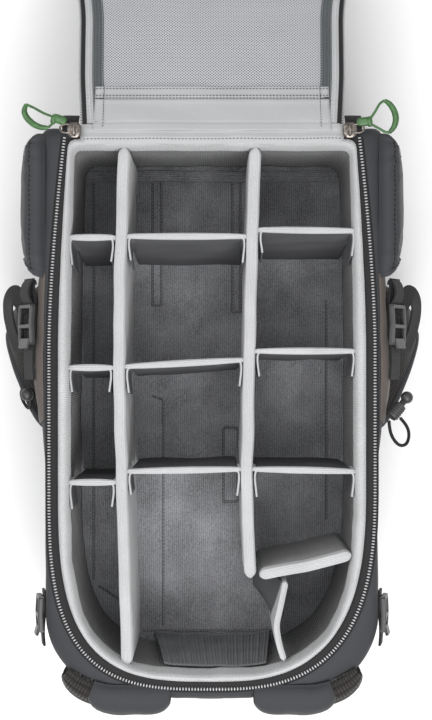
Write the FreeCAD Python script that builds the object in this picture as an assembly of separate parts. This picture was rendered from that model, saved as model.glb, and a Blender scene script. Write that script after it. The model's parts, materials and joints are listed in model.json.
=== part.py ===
import FreeCAD, Part
import math
import os

# A rear-opening camera backpack lying on its front, with its zipped back panel swung open.
# Millimetres. +X is to the wearer's side, +Y runs to the pack's hip end, where the back panel hinges,
# and +Z points out of the opening. The origin is the middle of the face that the pack rests on.

V = FreeCAD.Vector
UP = V(0, 0, 1)
ALONG_X = V(1, 0, 0)
ALONG_Y = V(0, 1, 0)

# Heights
front_depth = 62.0        # the front compartment under the camera compartment
floor_z = 84.0            # inner floor of the camera compartment
rim_z = 235.0             # top of the padded rim
tape_z = 230.0            # underside of the body's zip tape
coil_z = 231.2            # underside of the body's zip coil
coil_height = 3.0

# The opening and the zip round it
opening_half = 130.0
opening_half_hinge = 126.0
opening_end = 242.0       # at the hinge
opening_low = -233.0      # at the rounded top of the pack
zip_half = 147.0
zip_half_hinge = 133.0
zip_end = 250.0
zip_low = -247.0
widest_from = 60.0        # the zip is widest and straight between these two stations
widest_to = -60.0
zip_straight_to = 140.0   # the zip runs dead straight from the hinge to here

# The shell
shell_half = 157.0
shell_end = 255.0
shell_low = -254.0
shell_corner = 72.0
shell_wall = 2.5
gap = 0.5

# The back panel (flap)
hinge_y = 256.0
hinge_z = 236.0
panel_open = 207.0        # degrees from closed to lying open with its end on the ground
panel_thick = 12.0
panel_lift = 0.8          # the closed panel's clearance over the hinge axis height

# Dividers
long_thick = 12.0
short_thick = 6.5
far_lean = 15.0           # how far the foot of the row nearest the hinge stands towards the pack's top
near_lean = 8.0           # the same for the second row
divider_top = 229.0
divider_low = floor_z + 0.6
left_long_x = -81.0
right_long_x = 34.5

# Hip belt wings and shoulder straps
wing_low_y = 127.0
wing_high_y = 252.0
wing_tip_z = 68.0
strap_width = 88.0

# Cord locks: where each barrel's foot is, and which way the right one points
lock_foot = (162.0, -2.0, 228.0)
lock_way = (0.62, 0.72, -0.3)
left_lock_foot = (-169.0, 18.0, 193.0)

os.makedirs("parts", exist_ok=True)


def save(name, shape):
    """Write one sub-part's own STEP file."""
    shape.exportStep("parts/" + name + ".step")


def prism(wire, low, high):
    """A closed outline in the XY plane raised from one height to another."""
    moved = wire.copy()
    moved.translate(V(0, 0, low))
    return Part.Face(moved).extrude(V(0, 0, high - low))


def polygon(points):
    """A closed wire of straight edges."""
    return Part.makePolygon([V(*p) for p in points] + [V(*points[0])])


def block(x0, x1, y0, y1, z0, z1, radius=0.0, along=None):
    """A box between two corners, its edges parallel to one axis rounded."""
    solid = Part.makeBox(x1 - x0, y1 - y0, z1 - z0, V(x0, y0, z0))
    if not radius:
        return solid
    if along is None:
        return solid.makeFillet(radius, solid.Edges)
    edges = []
    for edge in solid.Edges:
        way = edge.tangentAt(edge.FirstParameter)
        if abs(way.dot(along)) > 0.99:
            edges.append(edge)
    return solid.makeFillet(radius, edges)


def mirrored(shape):
    """The same piece on the other side of the pack."""
    return shape.mirror(V(0, 0, 0), ALONG_X)


def turned(shape, point, axis, degrees):
    """A copy turned about a line."""
    copy = shape.copy()
    copy.rotate(point, axis, degrees)
    return copy


def opened(shape):
    """The back panel's pieces are drawn closed, over the opening, and swung open about the hinge."""
    return turned(shape, V(0, hinge_y, hinge_z), ALONG_X, -panel_open)


def curve_point(half, depth, power, share):
    """A point of the rounded end: a superellipse quarter, share 0 at the side and 1 at the end."""
    angle = share * math.pi / 2
    x = half * math.cos(angle) ** (2 / power)
    y = widest_to - depth * math.sin(angle) ** (2 / power)
    return V(x, y, 0)


def left(point):
    """The point as far out on the other side."""
    return V(-point.x, point.y, 0)


def rounded_end(half, depth, power):
    """Five arcs from the widest right-hand point round the pack's top end to the left-hand one."""
    side = [curve_point(half, depth, power, s) for s in (0.0, 0.18, 0.36, 0.53, 0.7, 1.0)]
    arcs = [(side[0], side[1], side[2]), (side[2], side[3], side[4]), (side[4], side[5], left(side[4]))]
    arcs.append((left(side[4]), left(side[3]), left(side[2])))
    arcs.append((left(side[2]), left(side[1]), left(side[0])))
    return [Part.Arc(*three).toShape() for three in arcs]


def opening_plan(half_hinge, half, end, low, power):
    """The opening's outline: straight at the hinge, flaring sides, and a full rounded end."""
    straight = V(half_hinge + 0.75 * (half - half_hinge), zip_straight_to, 0)
    waist = V(half_hinge + 0.93 * (half - half_hinge), 0.5 * (zip_straight_to + widest_from), 0)
    start = V(half_hinge, end, 0)
    wide = V(half, widest_from, 0)
    turn = V(half, widest_to, 0)
    edges = [Part.makeLine(left(start), start)]
    edges.append(Part.makeLine(start, straight))
    edges.append(Part.Arc(straight, waist, wide).toShape())
    edges.append(Part.makeLine(wide, turn))
    edges += rounded_end(half, widest_to - low, power)
    edges.append(Part.makeLine(left(turn), left(wide)))
    edges.append(Part.Arc(left(wide), left(waist), left(straight)).toShape())
    edges.append(Part.makeLine(left(straight), left(start)))
    return Part.Wire(edges)


def shell_plan(inset, corner):
    """The pack's outline seen from the back: a rectangle with large corners at its top."""
    low = shell_low + inset
    high = shell_end - inset
    half = shell_half - inset
    solid = block(-half, half, low, high, 0, 10)
    big = [e for e in solid.Edges if is_upright_at(e, low)]
    solid = solid.makeFillet(corner - inset, big)
    small = [e for e in solid.Edges if is_upright_at(e, high) and e.Length > 9.9]
    solid = solid.makeFillet(18.0 - 0.5 * inset, small)
    bottom = min(solid.Faces, key=lambda f: f.CenterOfMass.z)
    return bottom.OuterWire


def is_upright_at(edge, y):
    """True for a vertical edge that stands at this station."""
    ends = [v.Point for v in edge.Vertexes]
    return len(ends) == 2 and abs(ends[0].z - ends[1].z) > 5 and abs(ends[0].y - y) < 0.01


def ring(outer, inner, low, high):
    """A band between two outlines."""
    return prism(outer, low, high).cut(prism(inner, low - 5, high + 5))


def tube_along(points, diameter, name):
    """A round cord: straight runs joined by tangent arcs as large as the runs allow."""
    edges = []
    here = points[0]
    for k in range(1, len(points) - 1):
        before = (points[k] - points[k - 1])
        after = (points[k + 1] - points[k])
        shorter = min(before.Length, after.Length)
        turn = before.getAngle(after)
        radius = 0.45 * shorter / math.tan(turn / 2)
        reach = 0.45 * shorter
        before.normalize()
        after.normalize()
        start = points[k] - before * reach
        finish = points[k] + after * reach
        inward = (after - before).normalize()
        centre = points[k] + inward * (radius / math.cos(turn / 2))
        middle = centre - inward * radius
        edges.append(Part.makeLine(here, start))
        edges.append(Part.Arc(start, middle, finish).toShape())
        print(name, "bend radius", round(radius, 1), "turn", round(math.degrees(turn)))
        here = finish
    edges.append(Part.makeLine(here, points[-1]))
    path = Part.Wire(edges)
    way = points[1] - points[0]
    section = Part.Wire(Part.makeCircle(diameter / 2, points[0], way))
    tube = path.makePipeShell([section], True, False, 0)
    expected = math.pi * diameter ** 2 / 4 * path.Length
    print(name, "length", round(path.Length, 1), "volume ratio", round(tube.Volume / expected, 4))
    return tube


# ---- the pack's own shell, front compartment and lining ----

def outer_shell():
    """The sewn fabric shell: an open tray with a turned-in top edge."""
    body = prism(shell_plan(0, shell_corner), front_depth, tape_z - 1)
    lower = [e for e in body.Edges if abs(e.BoundBox.ZMax - front_depth) < 0.01]
    body = body.makeFillet(9.0, lower)
    hollow = prism(shell_plan(shell_wall, shell_corner), front_depth + shell_wall, tape_z + 5)
    return body.cut(hollow)


def edge_band():
    """The smooth fabric band between the shell's top edge and the zip."""
    inner = opening_plan(zip_half_hinge - 1, zip_half - 2, zip_end, zip_low + 2, 2.65)
    return ring(shell_plan(0, shell_corner), inner, tape_z - 0.9, tape_z - 0.1)


def front_pocket():
    """The front compartment that the pack lies on, with softly rounded sides."""
    plan = block(-138, 138, -232, 236, 0, front_depth - 0.3, 45, UP)
    lower = [e for e in plan.Edges if e.BoundBox.ZMax < 0.01]
    return plan.makeFillet(24.0, lower)


def floor_pad():
    """The foam pad between the camera compartment and the front compartment."""
    low = front_depth + shell_wall + gap
    return prism(shell_plan(shell_wall + gap, shell_corner), low, floor_z)


def foam_liner():
    """The brushed loop lining over foam, all round the camera compartment."""
    inner = opening_plan(opening_half_hinge, opening_half, opening_end, opening_low, 3.0)
    return ring(shell_plan(shell_wall + gap, shell_corner), inner, floor_z + 0.1, 218.0)


def rim_binding():
    """The padded light-grey rim, sewn on top of the lining."""
    inner = opening_plan(opening_half_hinge, opening_half, opening_end, opening_low, 3.0)
    outer = opening_plan(zip_half_hinge - 3.5, zip_half - 8.5, zip_end - 0.5, zip_low + 8.5, 2.65)
    return ring(outer, inner, 218.2, rim_z)


def hinge_strip():
    """The doubled fabric strip that the back panel swings on."""
    return block(-112, 112, zip_end + 0.5, shell_end - 0.6, tape_z, rim_z - 0.5, 1.2, ALONG_X)


def zip_ring(low, high, inside_hinge, inside, outside):
    """A band that follows the zip, left open at the hinge, and narrower there on its inner side."""
    outer = opening_plan(zip_half_hinge + outside, zip_half + outside, zip_end, zip_low - outside, 2.65)
    inner = opening_plan(zip_half_hinge + inside_hinge, zip_half + inside, zip_end, zip_low - inside, 2.65)
    band = ring(outer, inner, low, high)
    return band.cut(block(-112, 112, 200, 300, low - 5, high + 5)).cut(
        block(-200, 200, zip_end - 0.5, 300, low - 5, high + 5))


def end_pocket():
    """The ribbed elastic pocket that leans on the lining at the pack's top."""
    low = floor_z + 2
    high = 214.0
    side = Part.Face(polygon([(0, -213, low), (0, -209.5, low), (0, -222, high), (0, -225.5, high)]))
    side.translate(V(-50, 0, 0))
    return side.extrude(V(98, 0, 0))


def zip_garages():
    """Two small fabric tabs that the sliders park against."""
    left = block(-131, -121.5, 255.6, 271, 221, 224, 1.2, UP)
    return Part.Compound([left, mirrored(left)])


def grab_handle():
    """The webbing haul loop sewn to the pack's top end."""
    outside = [(-38, -254.2, 0), (-30, -274, 0), (26, -274, 0), (34, -254.2, 0)]
    inside = [(-32, -254.2, 0), (-26.5, -270, 0), (22.5, -270, 0), (28, -254.2, 0)]
    loop = prism(polygon(outside), 128, 153).cut(prism(polygon(inside), 120, 160))
    return loop


# ---- the swinging back panel ----

def panel_plan(inset):
    """The back panel's outline: narrow at the hinge, widening to the pack's rounded top."""
    def out(half):
        return half - inset

    depth = 185.0 - inset
    near = V(out(117.5), hinge_y - 8 - inset * 0.2, 0)
    first = V(out(121.5), hinge_y - 62, 0)
    second = V(out(124.5), hinge_y - 135, 0)
    swell = V(out(136), hinge_y - 225, 0)
    wide = V(out(143), widest_to, 0)
    edges = [Part.makeLine(left(near), near)]
    edges.append(Part.Arc(near, first, second).toShape())
    edges.append(Part.Arc(second, swell, wide).toShape())
    edges += rounded_end(out(143), depth, 2.65)
    edges.append(Part.Arc(left(wide), left(swell), left(second)).toShape())
    edges.append(Part.Arc(left(second), left(first), left(near)).toShape())
    return Part.Wire(edges)


def panel_band(out_inset, in_inset, low, high):
    """A strip that follows the back panel's edge on three sides."""
    band = ring(panel_plan(out_inset), panel_plan(in_inset), low, high)
    return opened(band.cut(block(-150, 150, hinge_y - 9 - in_inset * 0.2, 300, low - 5, high + 5)))


base = hinge_z + panel_lift

PANEL_PIECES = {
    "flap_panel": lambda: opened(prism(panel_plan(9), base + 2.2, base + panel_thick)),
    "flap_piping": lambda: panel_band(4.5, 8.8, base + 0.4, base + 5.5),
    "flap_zipper_tape": lambda: panel_band(1.6, 4.3, base + 0.6, base + 1.8),
    "flap_zipper_coil": lambda: panel_band(-1.0, 1.5, base + 0.4, base + 2.8),
    "flap_binding": lambda: panel_band(9.0, 17.5, base + 0.3, base + 2.0),
    "flap_mesh_pocket": lambda: opened(
        prism(panel_plan(18), base + 0.8, base + 2.0).cut(block(-150, 150, hinge_y - 49, 300, 200, 300))),
    "flap_pocket_hem": lambda: opened(block(-100, 100, hinge_y - 48.5, hinge_y - 10, base + 0.5, base + 2.0)),
}


def back_pads():
    """Four air-mesh pads on the back panel's outer side, against the wearer's back."""
    low = base + panel_thick + 0.2
    pads = []
    for y0, y1 in [(-150, -10), (0, 140)]:
        for x0, x1 in [(-100, -12), (12, 100)]:
            pads.append(opened(block(x0, x1, y0, y1, low, low + 11, 5)))
    return Part.Compound(pads)


# ---- zip sliders and pulls ----

def slider():
    """A zip slider: a rounded plate with a raised bridge, parked at the left end of the zip."""
    plate = block(-129.5, -117.8, 249.5, 262.5, 238.2, 241.0, 3.0, UP)
    bridge = block(-126.0, -121.4, 251.5, 260.5, 241.0, 244.2, 1.0, UP)
    return plate.fuse(bridge)


def pull():
    """A moulded cord pull: two thin runs from a small end block to a thick curved grip."""
    outside = [(-132.2, 253.6), (-143, 260), (-152, 256.2), (-158, 257.5), (-169, 272), (-170.5, 280),
               (-166.5, 284), (-146, 274.5), (-141, 271.5), (-132.2, 258.4)]
    inside = [(-146.5, 266.5), (-154, 261.2), (-157, 262), (-165, 273.5), (-166, 279)]
    plan_out = polygon([(x, y, 0) for x, y in outside])
    plan_in = polygon([(x, y, 0) for x, y in inside])
    return ring(plan_out, plan_in, 238.6, 242.6)


# ---- dividers ----

def upright(x0, y0, x1, y1, thick, lean=0.0):
    """A padded divider on the floor between two points, seen from above. Its foot stands lean to one side."""
    along = V(x1 - x0, y1 - y0, 0)
    length = along.Length
    half = thick / 2
    foot = [(0, -half - lean, divider_low), (0, half - lean, divider_low)]
    section = foot + [(0, half, divider_top), (0, -half, divider_top)]
    slab = Part.Face(polygon(section)).extrude(V(length, 0, 0))
    long_edges = [e for e in slab.Edges if abs(e.Length - length) < 0.001]
    slab = slab.makeFillet(thick * 0.3, long_edges)
    slab.rotate(V(0, 0, 0), UP, math.degrees(math.atan2(y1 - y0, x1 - x0)))
    slab.translate(V(x0, y0, 0))
    return slab


def short_dividers():
    """Name and solid of each short divider, column by column from the hip end."""
    left = (-opening_half_hinge - 0.5, left_long_x - long_thick / 2 - 1)
    middle = (left_long_x + long_thick / 2 + 1, right_long_x - long_thick / 2 - 1)
    right = (right_long_x + long_thick / 2 + 1, opening_half_hinge + 0.5)
    columns = {
        "left": (left, [(161, 161, far_lean), (43, 43, near_lean), (-61, -61, 0)]),
        "middle": (middle, [(162, 162, far_lean), (44, 50, near_lean), (-51, -49, 0)]),
        "right": (right, [(168, 167, far_lean), (58, 58, near_lean), (-49, -51, 0)]),
    }
    made = {}
    for column, (span, rows) in columns.items():
        for k, (y0, y1, lean) in enumerate(rows):
            slab = upright(span[0], y0, span[1], y1, short_thick, lean)
            made["divider_" + column + "_" + str(k + 1)] = slab
    return made


def bent_divider():
    """A thin divider folded at its middle, between the thick divider and the pack's top end."""
    upper = upright(66.5, -152, 58, -189, 5.5)
    lower = upright(58, -189, 64, -219, 5.5)
    return upper.fuse(lower)


# ---- outside: wings, straps, buckles, pockets, cords ----

def hip_wing():
    """The left padded wing of the hip belt, hanging down the pack's side from its sewn root."""
    outline = [(-157.6, 0, 234), (-168, 0, 232.5), (-176, 0, 222), (-180, 0, 120), (-176, 0, wing_tip_z),
               (-165, 0, wing_tip_z), (-166, 0, 120), (-164, 0, 214), (-159, 0, 226), (-157.6, 0, 230.5)]
    face = Part.Face(polygon(outline))
    face.translate(V(0, wing_low_y, 0))
    slab = face.extrude(V(0, wing_high_y - wing_low_y, 0))
    cutter = block(-190, -150, wing_low_y, wing_high_y, wing_tip_z, 280, 34.0, ALONG_X)
    return slab.common(cutter)


def hip_strap():
    """The belt webbing that comes out of the left wing's tip."""
    return block(-172.5, -170.0, 171, 209, 46, wing_tip_z - 0.3)


def hip_buckle(prongs):
    """One half of the belt's side-release buckle, hanging on the webbing: the socket or the prongs."""
    body = block(-176.5, -166.0, 165, 215, 20 if prongs else 9, 45.7, 3.0, ALONG_X)
    if not prongs:
        return body.cut(block(-174, -168.5, 169.5, 210.5, 0, 34))
    teeth = [block(-174, -168.5, y, y + 7, 8, 20.5, 1.5, ALONG_X) for y in (169, 186.5, 204)]
    for tooth in teeth:
        body = body.fuse(tooth)
    return body


def ladder_lock(width, length):
    """A ladder-lock buckle lying flat about the origin: a frame, three bars and a lifting tab."""
    frame = block(-width / 2, width / 2, -length / 2, length / 2, -2.5, 2.5, 1.5, UP)
    bar = width / 2 - 3.0
    for y0, y1 in [(-length / 2 + 4, -3.5), (0.5, 7.5)]:
        frame = frame.cut(block(-bar, bar, y0, y1, -5, 5))
    return frame


def placed(shape, tilt, at):
    """A piece drawn flat at the origin, leaned over on the pack's left side and put in its place."""
    moved = turned(shape, V(0, 0, 0), ALONG_Y, -tilt)
    moved.translate(V(*at))
    return moved


def side_pocket():
    """The left stretch pocket: flat under the hip wing and standing open towards the pack's top."""
    outer = [(-157.8, -16, 0), (-157.8, 240, 0), (-161.5, 240, 0), (-162, 124, 0), (-186, 112, 0),
             (-203, 90, 0), (-203, 74, 0), (-190, 44, 0)]
    inner = [(-160.8, -30, 0), (-160.8, 112, 0), (-185, 107, 0), (-199, 88, 0), (-199, 60, 0), (-190, 20, 0)]
    body = prism(polygon(outer), 36, 160)
    return body.cut(prism(polygon(inner), 40, 156))


def cord_lock_barrel():
    """The ribbed barrel of the right cord lock, lying against the pack's shoulder, bored for its button."""
    way = V(*lock_way).normalize()
    barrel = Part.makeCylinder(6.0, 15.0, V(*lock_foot), way)
    return barrel.cut(Part.makeCylinder(3.5, 8.0, V(*lock_foot) + way * 8.0, way))


def cord_lock_button():
    """The ball-shaped button that is pressed into the barrel's end."""
    way = V(*lock_way).normalize()
    middle = V(*lock_foot) + way * 24.5
    ball = Part.makeSphere(5.6, middle)
    stem = Part.makeCylinder(3.0, 5.0, middle - way * 8.6, way)
    return ball.fuse(stem)


def left_lock(shape):
    """The left cord lock hangs upright at the pack's side, so its pieces are the right ones turned."""
    way = V(*lock_way).normalize()
    foot = V(*left_lock_foot)
    moved = shape.copy()
    moved.translate(foot - V(*lock_foot))
    moved.rotate(foot, way.cross(UP), math.degrees(way.getAngle(UP)))
    return moved


RIGHT_CORD = [V(160.0, -5.0, 228.5), V(160.5, -13.0, 228.0), V(164.0, -22.0, 226.0), V(170.5, -28.5, 223.0),
              V(177.5, -27.0, 219.5), V(180.0, -18.0, 218.0), V(177.0, -9.0, 219.5), V(171.0, -3.0, 222.5)]
LEFT_CORD = [V(-169.0, 15.0, 191.0), V(-169.5, 10.0, 181.5), V(-171.5, 4.0, 171.5), V(-176.0, 5.0, 163.0),
             V(-180.5, 13.0, 162.5), V(-180.5, 20.0, 169.5), V(-177.0, 23.0, 178.5), V(-172.5, 21.5, 188.5)]


def shoulder_strap():
    """The left padded shoulder strap: sewn over the pack's top edge and hanging down its end."""
    outline = [(0, -252, 230.5), (0, -252, 236), (0, -262, 235), (0, -271, 226), (0, -273, 200), (0, -271, 60),
               (0, -264, 18), (0, -250, 6), (0, -237, 5), (0, -237, 17), (0, -247, 20), (0, -256, 40),
               (0, -256.6, 224), (0, -256, 230.5)]
    face = Part.Face(polygon(outline))
    face.translate(V(-128, 0, 0))
    return face.extrude(V(strap_width, 0, 0))


def load_strap():
    """The webbing of the left load-lifter buckle, sewn to the pack's side."""
    return placed(block(-10, 10, -30, 34, -1.2, 1.2), 78, (-161.5, -176, 206))


SHELL_PIECES = {
    "outer_shell": outer_shell,
    "edge_band": edge_band,
    "front_pocket": front_pocket,
    "floor_pad": floor_pad,
    "foam_liner": foam_liner,
    "rim_binding": rim_binding,
    "hinge_strip": hinge_strip,
    "zipper_tape": lambda: zip_ring(tape_z, tape_z + 1.0, -3.0, -8.0, 3.5),
    "zipper_coil": lambda: zip_ring(coil_z, coil_z + coil_height, -1.5, -1.5, 1.5),
    "end_pocket": end_pocket,
    "zip_garages": zip_garages,
    "grab_handle": grab_handle,
    "back_pads": back_pads,
    "long_divider_left": lambda: upright(left_long_x, opening_end - 1, left_long_x, -210, long_thick),
    "long_divider_right": lambda: upright(right_long_x, opening_end - 1, right_long_x, -143, long_thick),
    "divider_right_4": lambda: upright(right_long_x + 9.5, -144, opening_half_hinge - 0.5, -126, 10.0),
    "divider_bent": bent_divider,
}

for node, make in list(SHELL_PIECES.items()) + list(PANEL_PIECES.items()):
    save(node, make())

for node, solid in short_dividers().items():
    save(node, solid)

SIDE_PIECES = {
    "hip_wing": hip_wing,
    "hip_strap": hip_strap,
    "slider": slider,
    "pull": pull,
    "side_pocket": side_pocket,
    "side_buckle": lambda: placed(ladder_lock(31, 36), 62, (-169.0, 82, 216)),
    "load_buckle": lambda: placed(ladder_lock(25, 32), 78, (-165.6, -181, 212)),
    "shoulder_strap": shoulder_strap,
}

for piece, make in SIDE_PIECES.items():
    save(piece + "_left", make())
    save(piece + "_right", mirrored(make()))

left_side_strap = placed(block(-12, 12, -52, 44, -1.2, 1.2), 62, (-165.5, 82, 214))
save("side_straps", Part.Compound([left_side_strap, mirrored(left_side_strap)]))
save("load_straps", Part.Compound([load_strap(), mirrored(load_strap())]))

save("hip_buckle_socket", hip_buckle(False))
save("hip_buckle_prongs", mirrored(hip_buckle(True)))
save("cord_lock_right", cord_lock_barrel())
save("cord_button_right", cord_lock_button())
save("cord_lock_left", left_lock(cord_lock_barrel()))
save("cord_button_left", left_lock(cord_lock_button()))
save("elastic_cord_right", tube_along(RIGHT_CORD, 3.0, "elastic_cord_right"))
save("elastic_cord_left", tube_along(LEFT_CORD, 3.0, "elastic_cord_left"))
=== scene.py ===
import json

import bpy
import numpy as np
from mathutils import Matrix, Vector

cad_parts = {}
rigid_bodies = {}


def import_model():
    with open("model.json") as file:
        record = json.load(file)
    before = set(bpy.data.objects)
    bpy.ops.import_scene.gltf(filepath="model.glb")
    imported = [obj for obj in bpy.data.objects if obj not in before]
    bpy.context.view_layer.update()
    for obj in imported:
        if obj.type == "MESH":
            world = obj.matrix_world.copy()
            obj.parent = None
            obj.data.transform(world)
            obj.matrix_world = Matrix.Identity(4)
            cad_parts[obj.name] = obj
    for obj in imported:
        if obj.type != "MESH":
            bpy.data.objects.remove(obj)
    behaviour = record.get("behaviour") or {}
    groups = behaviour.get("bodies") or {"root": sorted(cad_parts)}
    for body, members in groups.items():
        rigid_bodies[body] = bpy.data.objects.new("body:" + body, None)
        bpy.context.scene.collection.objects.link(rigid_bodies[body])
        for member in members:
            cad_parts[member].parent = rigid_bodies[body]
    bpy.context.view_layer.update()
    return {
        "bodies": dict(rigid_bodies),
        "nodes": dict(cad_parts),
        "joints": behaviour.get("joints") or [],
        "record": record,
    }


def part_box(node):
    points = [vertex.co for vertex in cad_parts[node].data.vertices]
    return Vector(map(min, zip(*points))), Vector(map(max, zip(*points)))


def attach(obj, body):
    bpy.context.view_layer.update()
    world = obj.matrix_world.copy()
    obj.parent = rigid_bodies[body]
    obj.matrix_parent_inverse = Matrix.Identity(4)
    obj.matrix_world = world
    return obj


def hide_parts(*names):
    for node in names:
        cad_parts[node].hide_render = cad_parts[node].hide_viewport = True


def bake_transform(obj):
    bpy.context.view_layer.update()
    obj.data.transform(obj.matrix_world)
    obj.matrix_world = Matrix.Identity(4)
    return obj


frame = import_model()


# ---- Camera ----
# The pack lies open on its front, and is looked at from straight above, from a little over a metre away.
# A long lens keeps the walls of the compartment steep.

rim_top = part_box("rim_binding")[1].z
lens = bpy.data.cameras.new("camera")
lens.lens = 75.0
lens.sensor_width = 36.0
camera = bpy.data.objects.new("camera", lens)
camera.location = (0.0036, 0.0498, rim_top + 1.35)
bpy.context.scene.collection.objects.link(camera)
bpy.context.scene.camera = camera


# ---- Elastic cords ----
# Each cord lock sits on a short loop of 3 mm braided elastic that draws the side pocket's mouth in.
# The loop comes out of the barrel, turns round and goes back into it.


def shader(name, roughness, **sockets):
    """A principled surface with its even values set on its own sockets."""
    material = bpy.data.materials.new(name)
    material.use_nodes = True
    tree = material.node_tree
    surface = tree.nodes["Principled BSDF"]
    surface.inputs["Roughness"].default_value = roughness
    for label, value in sockets.items():
        surface.inputs[label.replace("_", " ")].default_value = value
    return material, tree, surface


def node(tree, kind, settings=(), **inputs):
    """One shader node. An input given as a socket is linked, any other is set. _0 and _1 are inputs by number."""
    made = tree.nodes.new("ShaderNode" + kind)
    for key, value in dict(settings).items():
        setattr(made, key, value)
    for key, value in inputs.items():
        socket = made.inputs[int(key[1:])] if key[0] == "_" else made.inputs[key.replace("_", " ")]
        if isinstance(value, bpy.types.NodeSocket):
            tree.links.new(value, socket)
        else:
            socket.default_value = value
    return made


def sums(tree, operation, a, b):
    """One sum of two values."""
    return node(tree, "Math", {"operation": operation}, _0=a, _1=b).outputs[0]


def ridges(tree, place, pitch, way="X", wobble=0.0):
    """Parallel sine ridges that distance apart, from 0 to 1. Blender's bands repeat every 2 pi / 20 of their scale."""
    bands = node(tree, "TexWave", {"bands_direction": way}, Vector=place, Scale=2 * np.pi / 20 / pitch,
                 Distortion=wobble, Detail_Scale=1.0)
    return bands.outputs["Fac"]


def cloud(tree, place, size, detail=2.0):
    """Soft noise with lumps of about that size, from 0 to 1."""
    return node(tree, "TexNoise", Vector=place, Scale=1 / size, Detail=detail).outputs["Fac"]


def colour_between(tree, share, dark, light, low=0.0, high=1.0):
    """The colour that goes from dark to light as share goes from low to high."""
    ramp = node(tree, "ValToRGB", Fac=share)
    ramp.color_ramp.elements[0].position = low
    ramp.color_ramp.elements[0].color = (*dark, 1)
    ramp.color_ramp.elements[1].position = high
    ramp.color_ramp.elements[1].color = (*light, 1)
    return ramp.outputs["Color"]


def raise_surface(tree, surface, height, depth):
    """A bump of that depth in metres, where height is 1."""
    bump = node(tree, "Bump", Height=height, Distance=depth, Strength=1.0)
    tree.links.new(bump.outputs["Normal"], surface.inputs["Normal"])


def woven(name, colour, thread, depth, uneven=0.12, fuzz=0.1, roughness=0.85, sheen=0.0, place="UV"):
    """Cloth. Height = warp ridges times weft ridges, thread apart. The colour is darker between the threads and
    drifts by the share uneven over 45 mm and by the share fuzz over 1.2 mm."""
    material, tree, surface = shader(name, roughness, Sheen_Weight=sheen, Sheen_Roughness=0.4,
                                     Specular_IOR_Level=0.25)
    spots = node(tree, "TexCoord")
    weave = sums(tree, "MULTIPLY", ridges(tree, spots.outputs[place], thread),
                 ridges(tree, spots.outputs[place], thread, "Y"))
    broad = sums(tree, "MULTIPLY", cloud(tree, spots.outputs["Object"], 0.045), uneven)
    fine = sums(tree, "MULTIPLY", cloud(tree, spots.outputs["Object"], 0.0012), fuzz)
    share = sums(tree, "ADD", sums(tree, "ADD", broad, fine), sums(tree, "MULTIPLY", weave, 0.1))
    middle = 0.5 * (uneven + fuzz) + 0.03
    dark = [c * (1 - uneven - fuzz) for c in colour]
    light = [min(1.0, c * (1 + uneven + fuzz)) for c in colour]
    shade = colour_between(tree, share, dark, light, max(0.0, middle - 0.2), middle + 0.2)
    tree.links.new(shade, surface.inputs["Base Color"])
    raise_surface(tree, surface, sums(tree, "ADD", weave, fine), depth)
    return material


black_elastic = woven("black_elastic", (0.012, 0.012, 0.013), 0.0009, 0.0003, roughness=0.7, place="Object")
cord_diameter = 0.003
cord_routes = {
    "right": [(0.1600, -0.0050, 0.2285), (0.1605, -0.0130, 0.2280), (0.1640, -0.0220, 0.2260),
              (0.1705, -0.0285, 0.2230), (0.1775, -0.0270, 0.2195), (0.1800, -0.0180, 0.2180),
              (0.1770, -0.0090, 0.2195), (0.1710, -0.0030, 0.2225)],
    "left": [(-0.1690, 0.0150, 0.1910), (-0.1695, 0.0100, 0.1815), (-0.1715, 0.0040, 0.1715),
             (-0.1760, 0.0050, 0.1630), (-0.1805, 0.0130, 0.1625), (-0.1805, 0.0200, 0.1695),
             (-0.1770, 0.0230, 0.1785), (-0.1725, 0.0215, 0.1885)],
}
for side, route in cord_routes.items():
    line = bpy.data.curves.new("elastic_loop_" + side, "CURVE")
    line.dimensions = "3D"
    line.bevel_depth = cord_diameter / 2
    line.bevel_resolution = 5
    line.resolution_u = 10
    line.use_fill_caps = True
    spline = line.splines.new("NURBS")
    spline.points.add(len(route) - 1)
    for point, place in zip(spline.points, route):
        point.co = (*place, 1.0)
    spline.order_u = 3
    spline.use_endpoint_u = True
    loop = bpy.data.objects.new("elastic_loop_" + side, line)
    bpy.context.scene.collection.objects.link(loop)
    loop.data.materials.append(black_elastic)
    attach(loop, "root")
    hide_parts("elastic_cord_" + side)


# ---- Studio ----
# A plain pale floor and soft light: a broad key from beyond the pack's top end, a wide one overhead, and
# an even white surround.

scene = bpy.context.scene
scene.view_settings.view_transform = "Standard"
floor_mesh = bpy.data.meshes.new("studio_floor")
reach = 6.0
floor_mesh.from_pydata([(-reach, -reach, 0), (reach, -reach, 0), (reach, reach, 0), (-reach, reach, 0)], [],
                       [(0, 1, 2, 3)])
studio_floor = bpy.data.objects.new("studio_floor", floor_mesh)
scene.collection.objects.link(studio_floor)
pale, pale_tree, pale_surface = shader("pale_floor", 0.9)
pale_spots = node(pale_tree, "TexCoord").outputs["Object"]
pale_shade = colour_between(pale_tree, cloud(pale_tree, pale_spots, 0.4), (0.86, 0.86, 0.86), (0.9, 0.9, 0.9))
pale_tree.links.new(pale_shade, pale_surface.inputs["Base Color"])
floor_mesh.materials.append(pale)


def softbox(name, size, power, at, turn):
    """A square lamp, turned about X then Z, in radians."""
    lamp = bpy.data.lights.new(name, "AREA")
    lamp.size = size
    lamp.energy = power
    stand = bpy.data.objects.new(name, lamp)
    stand.location = at
    stand.rotation_euler = turn
    scene.collection.objects.link(stand)


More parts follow.
